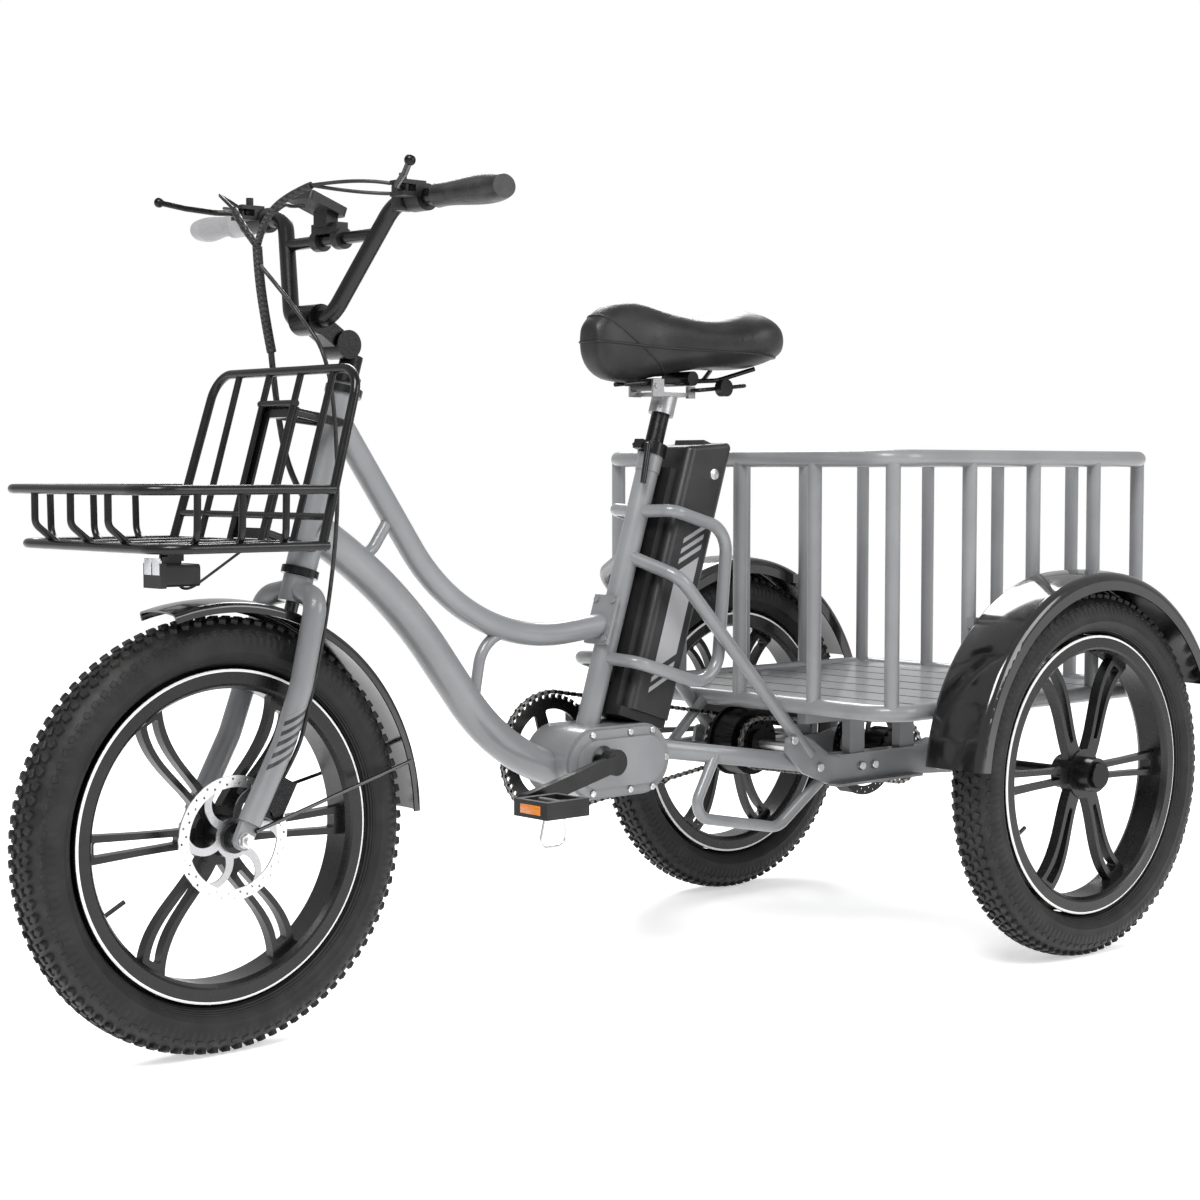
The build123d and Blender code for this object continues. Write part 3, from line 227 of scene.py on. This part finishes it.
def rimFinish(name, centre):
    # satin black casting with the thin white line round both edges
    finish = Finish(name, centre, IOR=1.5, Specular_IOR_Level=0.38)
    radius = finish.fromAxis()
    side = finish.place.part(1).maths("ABSOLUTE")
    line = radius.ramp(0.2098, 0.2102) * (1 - radius.ramp(0.2134, 0.2137)) * side.over(0.0265)
    body = dusty(finish, (0.008, 0.008, 0.0085), (0.004, 0.004, 0.0045), 12)
    finish.feed("Base Color", line.colours(body, (0.8, 0.8, 0.78)))
    finish.feed("Roughness", finish.place.noise(70, 4.0) * 0.16 + 0.2)
    finish.bump(finish.place.noise(700, 2.0), 0.00008)
    return finish.material


def tyreFinish(name, centre):
    # rubber with moulded rings and fine ribs on the sidewall, dusty on the tread
    finish = Finish(name, centre, IOR=1.45, Specular_IOR_Level=0.35)
    radius = finish.fromAxis()
    wall = radius.under(0.262)
    rings = (radius * 2600).maths("SINE") * radius.ramp(0.2145, 0.2165) * (1 - radius.ramp(0.226, 0.228))
    turn = finish.place.part(2).maths("ARCTAN2", finish.place.part(0))
    ribs = ((turn * 150).maths("SINE") * radius.ramp(0.244, 0.247) * (1 - radius.ramp(0.256, 0.259)))
    rubber = dusty(finish, (0.013, 0.013, 0.0135), (0.006, 0.006, 0.006), 30)
    tread = dusty(finish, (0.02, 0.0195, 0.019), (0.008, 0.008, 0.008), 55)
    finish.feed("Base Color", wall.colours(tread, rubber))
    finish.feed("Roughness", finish.place.noise(120, 4.0) * 0.22 + 0.42)
    finish.bump(rings * 0.5 + ribs * 0.5 + finish.place.noise(1400, 3.0) * 0.35, 0.0007)
    return finish.material


def discFinish(name, centre):
    # ground steel whose lines run round the disc
    finish = Finish(name, centre, Metallic=1.0)
    radius = finish.fromAxis()
    lines = (radius * 9000).maths("SINE") * 0.5 + finish.place.noise(300, 2.0)
    worn = radius.ramp(0.064, 0.066)
    finish.feed("Base Color", worn.colours((0.42, 0.42, 0.43), (0.68, 0.68, 0.68)))
    finish.feed("Roughness", lines * 0.08 + 0.22)
    finish.bump(lines, 0.00003)
    return finish.material


def leatherFinish(name):
    finish = Finish(name, IOR=1.48, Specular_IOR_Level=0.4)
    grain = finish.place.cells(620, "SMOOTH_F1")
    fine = finish.place.noise(1300, 3.0)
    finish.feed("Base Color", dusty(finish, (0.012, 0.012, 0.0125), (0.005, 0.005, 0.0055), 22))
    finish.feed("Roughness", finish.place.noise(30, 4.0) * 0.2 + grain * 0.1 + 0.27)
    finish.bump(grain * 0.8 + fine * 0.3, 0.00035)
    return finish.material


def cableFinish(name, wrap):
    # black jacket; the bundle has a spiral wrap
    finish = Finish(name, IOR=1.47)
    finish.feed("Base Color", dusty(finish, (0.013, 0.013, 0.0135), (0.006, 0.006, 0.006), 60))
    finish.feed("Roughness", finish.place.noise(90, 3.0) * 0.25 + 0.3)
    height = (finish.place.part(2) * wrap + finish.place.part(1) * wrap * 0.35).maths("SINE")
    finish.bump(height + finish.place.noise(500) * 0.2, 0.0006)
    return finish.material


def lensFinish(name, colour, scale=900):
    # moulded lens with small prisms
    finish = Finish(name, IOR=1.5, Coat_Weight=0.6, Coat_Roughness=0.05)
    prisms = finish.place.cells(scale)
    finish.feed("Base Color", prisms.ramp(0.1, 0.7).colours(colour, [c * 0.55 for c in colour]))
    finish.feed("Roughness", prisms * 0.15 + 0.1)
    finish.bump(prisms, 0.0004)
    return finish.material


def batteryFinish(name):
    # black shell with a cap seam, a plain light panel and slanted stripes on each side
    finish = Finish(name, IOR=1.48)
    x, z = finish.place.part(0), finish.place.part(2)
    foot = onSeat(0, 0, 0)
    sine, cosine = math.sin(seatLean), math.cos(seatLean)
    along = (x - foot.x) * -sine + (z - foot.z) * cosine
    back = (x - foot.x) * -cosine - (z - foot.z) * sine
    slant = along - back * 0.9
    side = finish.place.part(1).maths("ABSOLUTE").over(0.0446)
    marks = slant.between(0.085, 0.235)
    for low in (0.05, 0.066, 0.247, 0.263, 0.279):
        marks = marks.either(slant.between(low, low + 0.008))
    marks = marks * back.between(0.062, 0.1) * side
    seam = along.between(0.437, 0.4395)
    shell = dusty(finish, (0.02, 0.02, 0.021), (0.011, 0.011, 0.012), 14)
    finish.feed("Base Color", marks.colours(shell, (0.3, 0.3, 0.31)))
    finish.feed("Roughness", finish.place.noise(60, 4.0) * 0.16 + 0.24)
    finish.bump(finish.place.cells(1500) * 0.25 - seam * 2.5 - marks * 0.3, 0.0004)
    return finish.material


def forkFinish(name, light, dark):
    # frame paint with a patch of dark slanted stripes low on each leg
    finish = Finish(name, Coat_Roughness=0.08, Coat_Weight=0.35, IOR=1.5)
    x, y, z = (finish.place.part(k) for k in range(3))
    foot = wheels["front"]
    slant = (z - foot.z) + (x - foot.x) * 0.5
    stripes = ((slant * 620).maths("SINE")).over(0.1) * slant.between(0.068, 0.122)
    stripes = stripes * y.maths("ABSOLUTE").over(0.071)
    finish.feed("Base Color", stripes.colours(dusty(finish, light, dark), (0.02, 0.02, 0.02)))
    finish.feed("Roughness", finish.place.noise(38, 5.0).ramp(0.3, 0.75) * 0.12 + 0.3)
    finish.bump(finish.place.noise(420, 2.0) + finish.place.noise(90, 2.0) * 0.6, 0.00006)
    return finish.material


def gripFinish(name):
    # black rubber on the left; on the right the same black rubber is painted light grey as a painted
    # highlight where the light falls, both with fine ribs
    finish = Finish(name, IOR=1.45)
    x, y, z = (finish.place.part(k) for k in range(3))
    right = y.under(0)
    reach = y.maths("ABSOLUTE")
    ribs = (reach * 2100).maths("SINE") * reach.ramp(0.235, 0.245) * (1 - reach.ramp(0.315, 0.325))
    fleck = finish.place.cells(900).ramp(0.2, 0.35)
    black = dusty(finish, (0.022, 0.022, 0.022), (0.011, 0.011, 0.011), 40)
    # painted highlight: speckled light grey stands in for light falling on the right-hand black rubber
    paintedHighlightGrey = fleck.colours((0.16, 0.16, 0.165), (0.3, 0.3, 0.31))
    finish.feed("Base Color", right.colours(black, paintedHighlightGrey))
    finish.feed("Roughness", finish.place.noise(70, 3.0) * 0.2 + 0.3)
    finish.bump(ribs * 0.6 + finish.place.noise(700) * 0.3, 0.0005)
    return finish.material


greyLight, greyDark = (0.2, 0.204, 0.211), (0.168, 0.172, 0.179)
framePaint = paintFinish("framePaint", greyLight, greyDark, 0.28, 0.4)
basketPaint = paintFinish("basketPaint", (0.205, 0.208, 0.214), (0.172, 0.175, 0.181), 0.32, 0.3)
blackPaint = paintFinish("blackPaint", (0.007, 0.007, 0.0075), (0.003, 0.003, 0.0035), 0.2, 0.05,
                         gleam=0.32)
fenderGloss = paintFinish("fenderGloss", (0.005, 0.005, 0.0055), (0.0025, 0.0025, 0.003), 0.1, 0.6, 0.00002)
blackPlastic = plasticFinish("blackPlastic", (0.014, 0.014, 0.0145), (0.007, 0.007, 0.0075), 0.42)
batteryShell = batteryFinish("batteryShell")
forkPaint = forkFinish("forkPaint", greyLight, greyDark)
gripRubber = gripFinish("gripRubber")
silverSteel = metalFinish("silverSteel", (0.72, 0.72, 0.72), (0.5, 0.5, 0.5))
darkSteel = metalFinish("darkSteel", (0.3, 0.29, 0.28), (0.14, 0.135, 0.13), 0.38)
blackAlloy = metalFinish("blackAlloy", (0.035, 0.035, 0.036), (0.015, 0.015, 0.0155), 0.3)
greyAlloy = metalFinish("greyAlloy", (0.42, 0.42, 0.43), (0.3, 0.3, 0.31), 0.36)
saddleLeather = leatherFinish("saddleLeather")
hoseJacket = cableFinish("hoseJacket", 300)
spiralWrap = cableFinish("spiralWrap", 900)
amberLens = lensFinish("amberLens", (0.9, 0.26, 0.015))
screenGlass = lensFinish("screenGlass", (0.012, 0.016, 0.02), 60)
linkSteel = metalFinish("linkSteel", (0.42, 0.41, 0.39), (0.16, 0.155, 0.15), 0.32)
redPlastic = plasticFinish("redPlastic", (0.55, 0.02, 0.015), (0.35, 0.012, 0.01), 0.35)
clearLens = lensFinish("clearLens", (0.75, 0.77, 0.8))
print("finishes made")


# finishes on the CAD nodes

def dress(node, material):
    data = nodes[node].data
    data.materials.clear()
    data.materials.append(material)


for node in ("head_tube", "down_tube", "top_tube", "frame_braces", "seat_tube", "battery_guards",
             "seat_stays", "chainstays", "carrier_arms", "drive_case", "case_cover"):
    dress(node, framePaint)
dress("fork", forkPaint)
dress("seat_bracket", greyAlloy)
for node in ("basket_top_rail", "basket_floor_rail", "basket_posts", "basket_slats", "basket_supports"):
    dress(node, basketPaint)
for node in ("front_basket", "basket_bracket", "handlebar", "seat_collar", "crankset", "chainring",
             "saddle_rails", "seat_latch", "headset_cups"):
    dress(node, blackPaint)
for node in ("rear_fenders", "front_fender"):
    dress(node, fenderGloss)
for node in ("hub_motor", "rear_axle", "stem", "brake_lever_left", "brake_lever_right", "seatpost",
             "front_caliper", "rear_caliper"):
    dress(node, blackAlloy)
for node in ("battery_cradle", "motor_controller", "headlight", "lever_perches", "display",
             "pedal_left", "pedal_right"):
    dress(node, blackPlastic)
for node in ("grips", "throttle_sleeve"):
    dress(node, gripRubber)
for node in ("front_axle", "frame_bolts"):
    dress(node, silverSteel)
dress("freewheel_sprocket", darkSteel)
dress("battery", batteryShell)
dress("front_rim", rimFinish("frontRimCast", wheels["front"]))
dress("rear_left_rim", rimFinish("leftRimCast", wheels["rearLeft"]))
dress("rear_right_rim", rimFinish("rightRimCast", wheels["rearRight"]))
dress("front_rotor", discFinish("frontDisc", middleOf("front_rotor")))
print("nodes dressed")


# helpers for new pieces

def clearAll():
    if bpy.context.object and bpy.context.object.mode != "OBJECT":
        bpy.ops.object.mode_set(mode="OBJECT")
    bpy.ops.object.select_all(action="DESELECT")


def takeUp(thing):
    clearAll()
    thing.select_set(True)
    bpy.context.view_layer.objects.active = thing


def settle(thing, name, material, body, smooth=35):
    # the place goes into the mesh, so the object sits at the origin
    takeUp(thing)
    bpy.ops.object.transform_apply(location=True, rotation=True, scale=True)
    thing.name = name
    thing.data.materials.clear()
    thing.data.materials.append(material)
    if smooth:
        bpy.ops.object.shade_smooth_by_angle(angle=math.radians(smooth))
    if body:
        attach(thing, body)
    return thing


def addModifier(thing, kind, **values):
    takeUp(thing)
    made = thing.modifiers.new(kind.title(), kind)
    for key, value in values.items():
        setattr(made, key, value)
    bpy.ops.object.modifier_apply(modifier=made.name)
    return thing


def block(size, place, turn=(0, 0, 0), soften=0.001, steps=2):
    clearAll()
    bpy.ops.mesh.primitive_cube_add(size=1, location=place, rotation=turn)
    made = bpy.context.object
    made.scale = size
    bpy.ops.object.transform_apply(location=False, rotation=False, scale=True)
    if soften:
        addModifier(made, "BEVEL", width=soften, segments=steps, limit_method="ANGLE")
    return made


def drum(radius, depth, place, axis="Y", corners=40, soften=0.0006):
    turn = {"Y": (math.pi / 2, 0, 0), "X": (0, math.pi / 2, 0)}[axis]
    clearAll()
    bpy.ops.mesh.primitive_cylinder_add(radius=radius, depth=depth, vertices=corners, location=place,
                                        rotation=turn)
    made = bpy.context.object
    if soften:
        addModifier(made, "BEVEL", width=soften, segments=2, limit_method="ANGLE")
    return made


def joined(things):
    takeUp(things[0])
    for thing in things[1:]:
        thing.select_set(True)
    bpy.context.view_layer.objects.active = things[0]
    if len(things) > 1:
        bpy.ops.object.join()
    bpy.ops.object.transform_apply(location=True, rotation=True, scale=True)
    return bpy.context.object


def copyAt(thing, matrix):
    made = thing.copy()
    made.data = thing.data.copy()
    bpy.context.collection.objects.link(made)
    made.data.transform(matrix)
    return made


# camera and light

view = {"lens": 67.5, "place": fromAxle(2837, 2455, 744), "towards": Vector((-0.665, -0.7445, -0.0575))}
bpy.ops.object.camera_add(location=view["place"])
camera = bpy.context.object
camera.rotation_euler = view["towards"].to_track_quat("-Z", "Y").to_euler()
camera.data.lens = view["lens"]
camera.data.sensor_width = 36
camera.data.clip_end = 60
bpy.context.scene.camera = camera

studio = {"floorSize": 60, "floorColour": (0.97, 0.97, 0.97), "floorShade": (0.95, 0.95, 0.95),
          "worldStrength": 0.55, "backdrop": 1.0, "lift": 0.48}
clearAll()
bpy.ops.mesh.primitive_plane_add(size=studio["floorSize"], location=(0, 0, 0))
floor = bpy.context.object
floor.name = "floor"
floorPaint = Finish("floorPaint", Emission_Color=(1, 1, 1, 1), Emission_Strength=studio["lift"])
floorCloud = floorPaint.place.noise(3.0)
floorPaint.feed("Base Color", floorCloud.colours(studio["floorColour"], studio["floorShade"]))
floorPaint.feed("Roughness", floorPaint.place.noise(9.0) * 0.1 + 0.6)
floor.data.materials.append(floorPaint.material)

world = bpy.data.worlds.new("studioWorld")
world.use_nodes = True
glow = world.node_tree.nodes["Background"]
glow.inputs[0].default_value = (1, 1, 1, 1)
seen = Val(world.node_tree, world.node_tree.nodes.new("ShaderNodeLightPath").outputs["Is Camera Ray"])
strength = seen * (studio["backdrop"] - studio["worldStrength"]) + studio["worldStrength"]
world.node_tree.links.new(strength.socket, glow.inputs[1])
bpy.context.scene.world = world
bpy.context.scene.view_settings.view_transform = "Standard"

areaLights = {"keyLight": ((2.2, 1.6, 3.6), 1.6, 150), "fillLight": ((-1.6, 3.4, 2.2), 2.0, 60),
              "backLight": ((-2.2, -2.6, 3.4), 2.0, 120)}
for name, (place, size, power) in areaLights.items():
    bpy.ops.object.light_add(type="AREA", location=place)
    lamp = bpy.context.object
    lamp.name = name
    lamp.data.size, lamp.data.energy = size, power
    lamp.rotation_euler = (Vector((0, 0, 0.5)) - Vector(place)).to_track_quat("-Z", "Y").to_euler()
print("camera and lights placed")


# tyres: carcass and knobs

tread = {"pitches": 96, "knobTall": 0.0036, "bead": 0.2135, "knobDeep": 0.0075, "crownDrop": 0.0095,
         "shoulderDrop": 0.0165}


def carcass():
    # the section is drawn as a ring in the XY plane and spun round the axle
    bulge, inner = tyreHalf - 0.0012, tread["bead"]
    outer = treadRadius - tread["knobTall"]
    clearAll()
    bpy.ops.mesh.primitive_circle_add(vertices=40, radius=1, location=(0, 0, 0))
    section = bpy.context.object
    bpy.ops.object.mode_set(mode="EDIT")
    bpy.ops.mesh.select_all(action="SELECT")
    bpy.ops.transform.resize(value=((outer - inner) / 2, bulge, 1))
    bpy.ops.transform.translate(value=((outer + inner) / 2, 0, 0))
    bpy.ops.object.mode_set(mode="OBJECT")
    low = inner + (outer - inner) * 0.4
    bpy.ops.object.mode_set(mode="EDIT")
    bpy.ops.mesh.select_mode(type="VERT")
    bpy.ops.mesh.select_all(action="DESELECT")
    bpy.ops.object.mode_set(mode="OBJECT")
    for corner in section.data.vertices:
        corner.select = corner.co.x < low
    bpy.ops.object.mode_set(mode="EDIT")
    bpy.ops.transform.resize(value=(1, 1.06, 1))
    bpy.ops.mesh.select_all(action="SELECT")
    bpy.ops.mesh.spin(steps=160, angle=2 * math.pi, center=(0, 0, 0), axis=(0, 1, 0))
    bpy.ops.mesh.select_all(action="SELECT")
    bpy.ops.mesh.remove_doubles(threshold=0.00005)
    bpy.ops.mesh.normals_make_consistent(inside=False)
    bpy.ops.object.mode_set(mode="OBJECT")
    return section


def knobs():
    # one pitch of the tread: a staggered pair in the middle, two angled beside it and one on each shoulder
    tall, top = tread["knobDeep"], treadRadius
    step = 2 * math.pi / tread["pitches"]
    pieces = []

    def knob(side, across, along, size, turn, lean):
        # across is the distance from the tyre's middle, along is the share of the pitch
        drop = (across / tyreHalf) ** 2 * tread["crownDrop"] if across < 0.030 else tread["shoulderDrop"]
        made = block((size[0], size[1], tall), (0, 0, 0), soften=0.0009, steps=1)
        made.rotation_euler = (0, 0, math.radians(turn))
        takeUp(made)
        bpy.ops.object.transform_apply(location=False, rotation=True, scale=False)
        height = top - drop - tall / 2 - 0.0002
        placeIt = (Matrix.Rotation(along * step, 4, "Y") @ Matrix.Translation((0, side * across, height))
                   @ Matrix.Rotation(-side * math.radians(lean), 4, "X"))
        made.data.transform(placeIt)
        pieces.append(made)

    for side in (1, -1):
        shift = 0.25 * side
        knob(side, 0.0066, shift, (0.0104, 0.0078, 1), 18 * side, 4)
        knob(side, 0.0192, 0.25 - shift, (0.0098, 0.0086, 1), -24 * side, 16)
        knob(side, 0.0312, shift, (0.0092, 0.0072, 1), 10 * side, 58)
    unit = joined(pieces)
    clearAll()
    bpy.ops.object.empty_add(location=(0, 0, 0), rotation=(0, step, 0))
    turner = bpy.context.object
    addModifier(unit, "ARRAY", count=tread["pitches"], use_relative_offset=False, use_object_offset=True,
                offset_object=turner)
    bpy.data.objects.remove(turner)
    return unit


tyreModel = joined([carcass(), knobs()])
for place, centre in wheels.items():
    rubber = copyAt(tyreModel, Matrix.Translation(centre))
    settle(rubber, place + "Tyre", tyreFinish(place + "Rubber", centre), wheelBodies[place])
    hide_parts(wheelNodes[place])
bpy.data.objects.remove(tyreModel)
print("tyres made")


# saddle

saddlePad = {"shrink": 0.004, "voxel": 0.005, "pressure": 4.0, "reach": 0.006, "piping": 0.0019}


def makeSaddle():
    source = nodes["saddle"]
    pad = source.copy()
    pad.data = source.data.copy()
    bpy.context.collection.objects.link(pad)
    pad.parent = None
    takeUp(pad)
    bpy.ops.object.mode_set(mode="EDIT")
    bpy.ops.mesh.select_all(action="SELECT")
    bpy.ops.mesh.remove_doubles(threshold=0.0001)
    bpy.ops.transform.shrink_fatten(value=-saddlePad["shrink"])
    bpy.ops.object.mode_set(mode="OBJECT")
    addModifier(pad, "REMESH", mode="VOXEL", voxel_size=saddlePad["voxel"])
    start = [v.co.copy() for v in pad.data.vertices]
    cloth = pad.modifiers.new("Cloth", "CLOTH")
    cloth.settings.use_pressure = True
    cloth.settings.uniform_pressure_force = saddlePad["pressure"]
    cloth.settings.effector_weights.gravity = 0
    cloth.settings.quality = 6
    for step in range(1, 21):
        bpy.context.scene.frame_set(step)
    takeUp(pad)
    bpy.ops.object.modifier_apply(modifier="Cloth")
    bpy.context.scene.frame_set(1)
    reach = saddlePad["reach"]
    for corner, home in zip(pad.data.vertices, start):
        moved = corner.co - home
        if moved.length > reach:
            corner.co = home + moved * (reach / moved.length)
    addModifier(pad, "SMOOTH", factor=0.5, iterations=4)
    addModifier(pad, "SUBSURF", levels=1, render_levels=1)
    return pad


def ringOn(pad, point, normal, radius, name):
    # the saddle's outline where a plane cuts it, as a bead of piping
    made = pad.copy()
    made.data = pad.data.copy()
    bpy.context.collection.objects.link(made)
    takeUp(made)
    bpy.ops.object.mode_set(mode="EDIT")
    bpy.ops.mesh.select_all(action="SELECT")
    bpy.ops.mesh.bisect(plane_co=point, plane_no=normal, clear_inner=False, clear_outer=False)
    bpy.ops.mesh.select_all(action="INVERT")
    bpy.ops.mesh.delete(type="VERT")
    bpy.ops.object.mode_set(mode="OBJECT")
    bpy.ops.object.convert(target="CURVE")
    made = bpy.context.object
    made.data.bevel_depth = radius
    made.data.bevel_resolution = 3
    bpy.ops.object.convert(target="MESH")
    made = bpy.context.object
    made.name = name
    return made


pad = makeSaddle()
seams = [ringOn(pad, fromAxle(400, 0, 917), (-0.05, 0, 1), saddlePad["piping"], "sideSeam"),
         ringOn(pad, fromAxle(600, 0, 932), (-0.55, 0, 0.83), saddlePad["piping"] * 0.8, "noseSeam")]
settle(pad, "saddlePad", saddleLeather, "saddle", 60)
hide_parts("saddle")
for seam, name in zip(seams, ("sideSeam", "noseSeam")):
    settle(seam, name, blackPlastic, "saddle", 50)
print("saddle made")


# cables

def cable(points, radius, name, material):
    shape = bpy.data.curves.new(name, "CURVE")
    shape.dimensions = "3D"
    spline = shape.splines.new("NURBS")
    spline.points.add(len(points) - 1)
    for knot, place in zip(spline.points, points):
        knot.co = (*fromAxle(*place), 1)
    spline.order_u = 3
    spline.use_endpoint_u = True
    spline.resolution_u = 14
    shape.bevel_depth = radius
    shape.bevel_resolution = 3
    shape.use_fill_caps = True
    made = bpy.data.objects.new(name, shape)
    bpy.context.collection.objects.link(made)
    takeUp(made)
    bpy.ops.object.convert(target="MESH")
    made = bpy.context.object
    made.data.materials.append(material)
    bpy.ops.object.shade_smooth()
    return made


cables = {"join": (1206, -40, 1035), "left": (1206, 84, 1102), "right": (1210, -88, 1086), "thin": 0.0024,
          "wrapped": 0.0048, "hose": 0.0028, "trunk": 0.0066, "lowerTrunk": 0.0042}
join, leftEnd, rightEnd, thin, wrapped = (cables[key] for key in ("join", "left", "right", "thin", "wrapped"))
thinRuns = {"leftBrakeCable": [(1149, 172, 1101), (1176, 144, 1108), leftEnd],
            "leftSwitchCable": [(1120, 158, 1092), (1160, 132, 1090), leftEnd],
            "rightBrakeCable": [(1149, -172, 1101), (1186, -160, 1114), (1212, -118, 1106), rightEnd],
            "throttleCable": [(1124, -196, 1092), (1168, -176, 1098), (1200, -130, 1092), rightEnd]}
wrappedRuns = {"leftBundle": [leftEnd, (1217, 36, 1090), (1216, -12, 1062), join],
               "rightBundle": [rightEnd, (1214, -66, 1064), join]}
bars = [cable(points, thin, name, hoseJacket) for name, points in thinRuns.items()]
bars += [cable(points, wrapped, name, spiralWrap) for name, points in wrappedRuns.items()]
displayCable = cable([(1168, 12, 1086), (1190, 14, 1082), (1210, 30, 1084), (1214, 16, 1074)], thin,
                     "displayCable", hoseJacket)
tuple(fromAxle(1212, 16, 1076))
tuple(fromAxle(1174, 12, 1086))
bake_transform(displayCable)
brakeHose = cable([(1204, -36, 1010), (1172, 18, 940), (1156, 52, 880), (1146, 54, 740), (1152, 54, 640),
                   (1176, 60, 525), (1205, 60, 420), (1214, 56, 385), (1230.2, 45, 349.8)], cables["hose"],
                  "brakeHose", hoseJacket)
trunk = cable([join, (1200, -46, 1000), (1186, -54, 945), (1172, -60, 900)], cables["trunk"], "cableBundle",
              spiralWrap)
lowerTrunk = cable([(1174, -59, 905), (1160, -62, 790), (1138, -52, 715), (1100, -32, 664), (1056, -19, 632)],
                   cables["lowerTrunk"], "lowerBundle", hoseJacket)
for thing in bars + [brakeHose]:
    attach(thing, "steering")
for thing in (trunk, lowerTrunk):
    tuple(fromAxle(1110, -36, 670))
    tuple(fromAxle(1200, -46, 1000))
    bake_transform(thing)
for thing in bars + [brakeHose, displayCable, trunk, lowerTrunk]:
    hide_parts("control_cables")
print("cables made")


# chains

chain = {"pitch": 0.0127, "offset": 5.95, "plate": 0.001, "plateRadius": 0.0034, "waist": 0.0046,
         "innerAt": 0.0019, "outerAt": 0.003, "pin": 0.0021, "pinLong": 0.0072}


def chainLink(across):
    pieces = []
    for side in (1, -1):
        for end in (-0.5, 0.5):
            place = (end * chain["pitch"], side * across, 0)
            pieces.append(drum(chain["plateRadius"], chain["plate"], place, corners=12, soften=0))
        waist = (chain["pitch"], chain["plate"], chain["waist"])
        pieces.append(block(waist, (0, side * across, 0), soften=0))
    for end in (-0.5, 0.5):
        pieces.append(drum(chain["pin"], chain["pinLong"], (end * chain["pitch"], 0, 0), corners=8, soften=0))
    return joined(pieces)


def chainRun(name, first, second, y):
    # each wheel is x, z in millimetres and a tooth count
    def ring(wheel):
        x, z, teeth = wheel
        return x, z, chain["pitch"] * 500 / math.sin(math.pi / teeth) + chain["offset"]
    (x1, z1, r1), (x2, z2, r2) = ring(first), ring(second)
    away = math.hypot(x2 - x1, z2 - z1)
    base = math.atan2(z2 - z1, x2 - x1)
    wrap = math.acos((r1 - r2) / away)
    straight = math.sqrt(away ** 2 - (r1 - r2) ** 2)
    legs = [straight, r2 * 2 * wrap, straight, r1 * (2 * math.pi - 2 * wrap)]

    def at(distance):
        leg = 0
        while distance > legs[leg] and leg < 3:
            distance -= legs[leg]
            leg += 1
        if leg in (1, 3):
            x, z, radius = (x2, z2, r2) if leg == 1 else (x1, z1, r1)
            angle = base + (wrap if leg == 1 else -wrap) - distance / radius
            return x + radius * math.cos(angle), z + radius * math.sin(angle), angle - math.pi / 2
        sign = 1 if leg == 0 else -1
        angle = base + sign * wrap
        (xa, za, ra), (xb, zb, rb) = ((x1, z1, r1), (x2, z2, r2))[::sign]
        share = distance / straight
        start = (xa + ra * math.cos(angle), za + ra * math.sin(angle))
        end = (xb + rb * math.cos(angle), zb + rb * math.sin(angle))
        return (start[0] + (end[0] - start[0]) * share, start[1] + (end[1] - start[1]) * share,
                math.atan2(end[1] - start[1], end[0] - start[0]))

    count = 2 * round(sum(legs) / chain["pitch"] / 2000)
    units = [chainLink(chain["innerAt"]), chainLink(chain["outerAt"])]
    links = []
    for k in range(count):
        x, z, slope = at(sum(legs) * (k + 0.5) / count)
        placeIt = Matrix.Translation(fromAxle(x, y, z)) @ Matrix.Rotation(-slope, 4, "Y")
        links.append(copyAt(units[k % 2], placeIt))
    for unit in units:
        bpy.data.objects.remove(unit)
    made = settle(joined(links), name, linkSteel, "frame", 30)
    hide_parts("chains")


chainRun("frontChain", (690, 327, 42), (336, 321, 16), -60)
chainRun("rearChain", (336, 321, 16), (0, 280, 22), 24)
print("chains made")


# small fittings

fittings = {"reflector": (0.003, 0.042, 0.013), "lens": (0.003, 0.0165, 0.021),
            "screen": (0.046, 0.042, 0.0012), "switch": (0.03, 0.018, 0.034), "screenLean": -20}
for side, node in ((1, "pedal_left"), (-1, "pedal_right")):
    low, high = boxOf(node)
    middle = jointAt(node + "_spin")
    faces = [block(fittings["reflector"], (x, middle.y, middle.z), soften=0.0006)
             for x in (high.x - 0.0008, low.x + 0.0008)]
    settle(joined(faces), node + "Reflectors", amberLens, node)
low, high = boxOf("headlight")
lensMiddle = Vector((high.x - 0.0006, (low.y + high.y) / 2, high.z - 0.0165))
lenses = [block(fittings["lens"], lensMiddle + Vector((0, side * 0.0097, 0)), soften=0.0008)
          for side in (1, -1)]
settle(joined(lenses), "headlightLenses", clearLens, "headlight")
lampLead = cable([(1352, 0, 600), (1340, -6, 590), (1300, -10, 612), (1240, -12, 648)], 0.0018, "lampLead",
                 hoseJacket)
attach(lampLead, "steering")
tilt = math.radians(fittings["screenLean"])
lift = Vector((math.sin(tilt), 0, math.cos(tilt))) * 0.0062
settle(block(fittings["screen"], fromAxle(1139, 0, 1090) + lift, (0, tilt, 0), 0.0004), "displayScreen",
       screenGlass, "display")
settle(block(fittings["switch"], fromAxle(1112, 152, 1088), soften=0.004, steps=3), "switchBox", blackPlastic,
       "steering")
buttons = [drum(0.0042, 0.004, fromAxle(1096, 152, 1096 - 13 * k), "X", 20) for k in range(2)]
settle(joined(buttons), "switchButtons", redPlastic, "steering")
lock = onSeat(452, 92, 45)
settle(joined([drum(0.0085, 0.004, lock, corners=28), drum(0.005, 0.0052, lock, corners=20)]), "batteryLock",
       silverSteel, "battery")
print("fittings made")
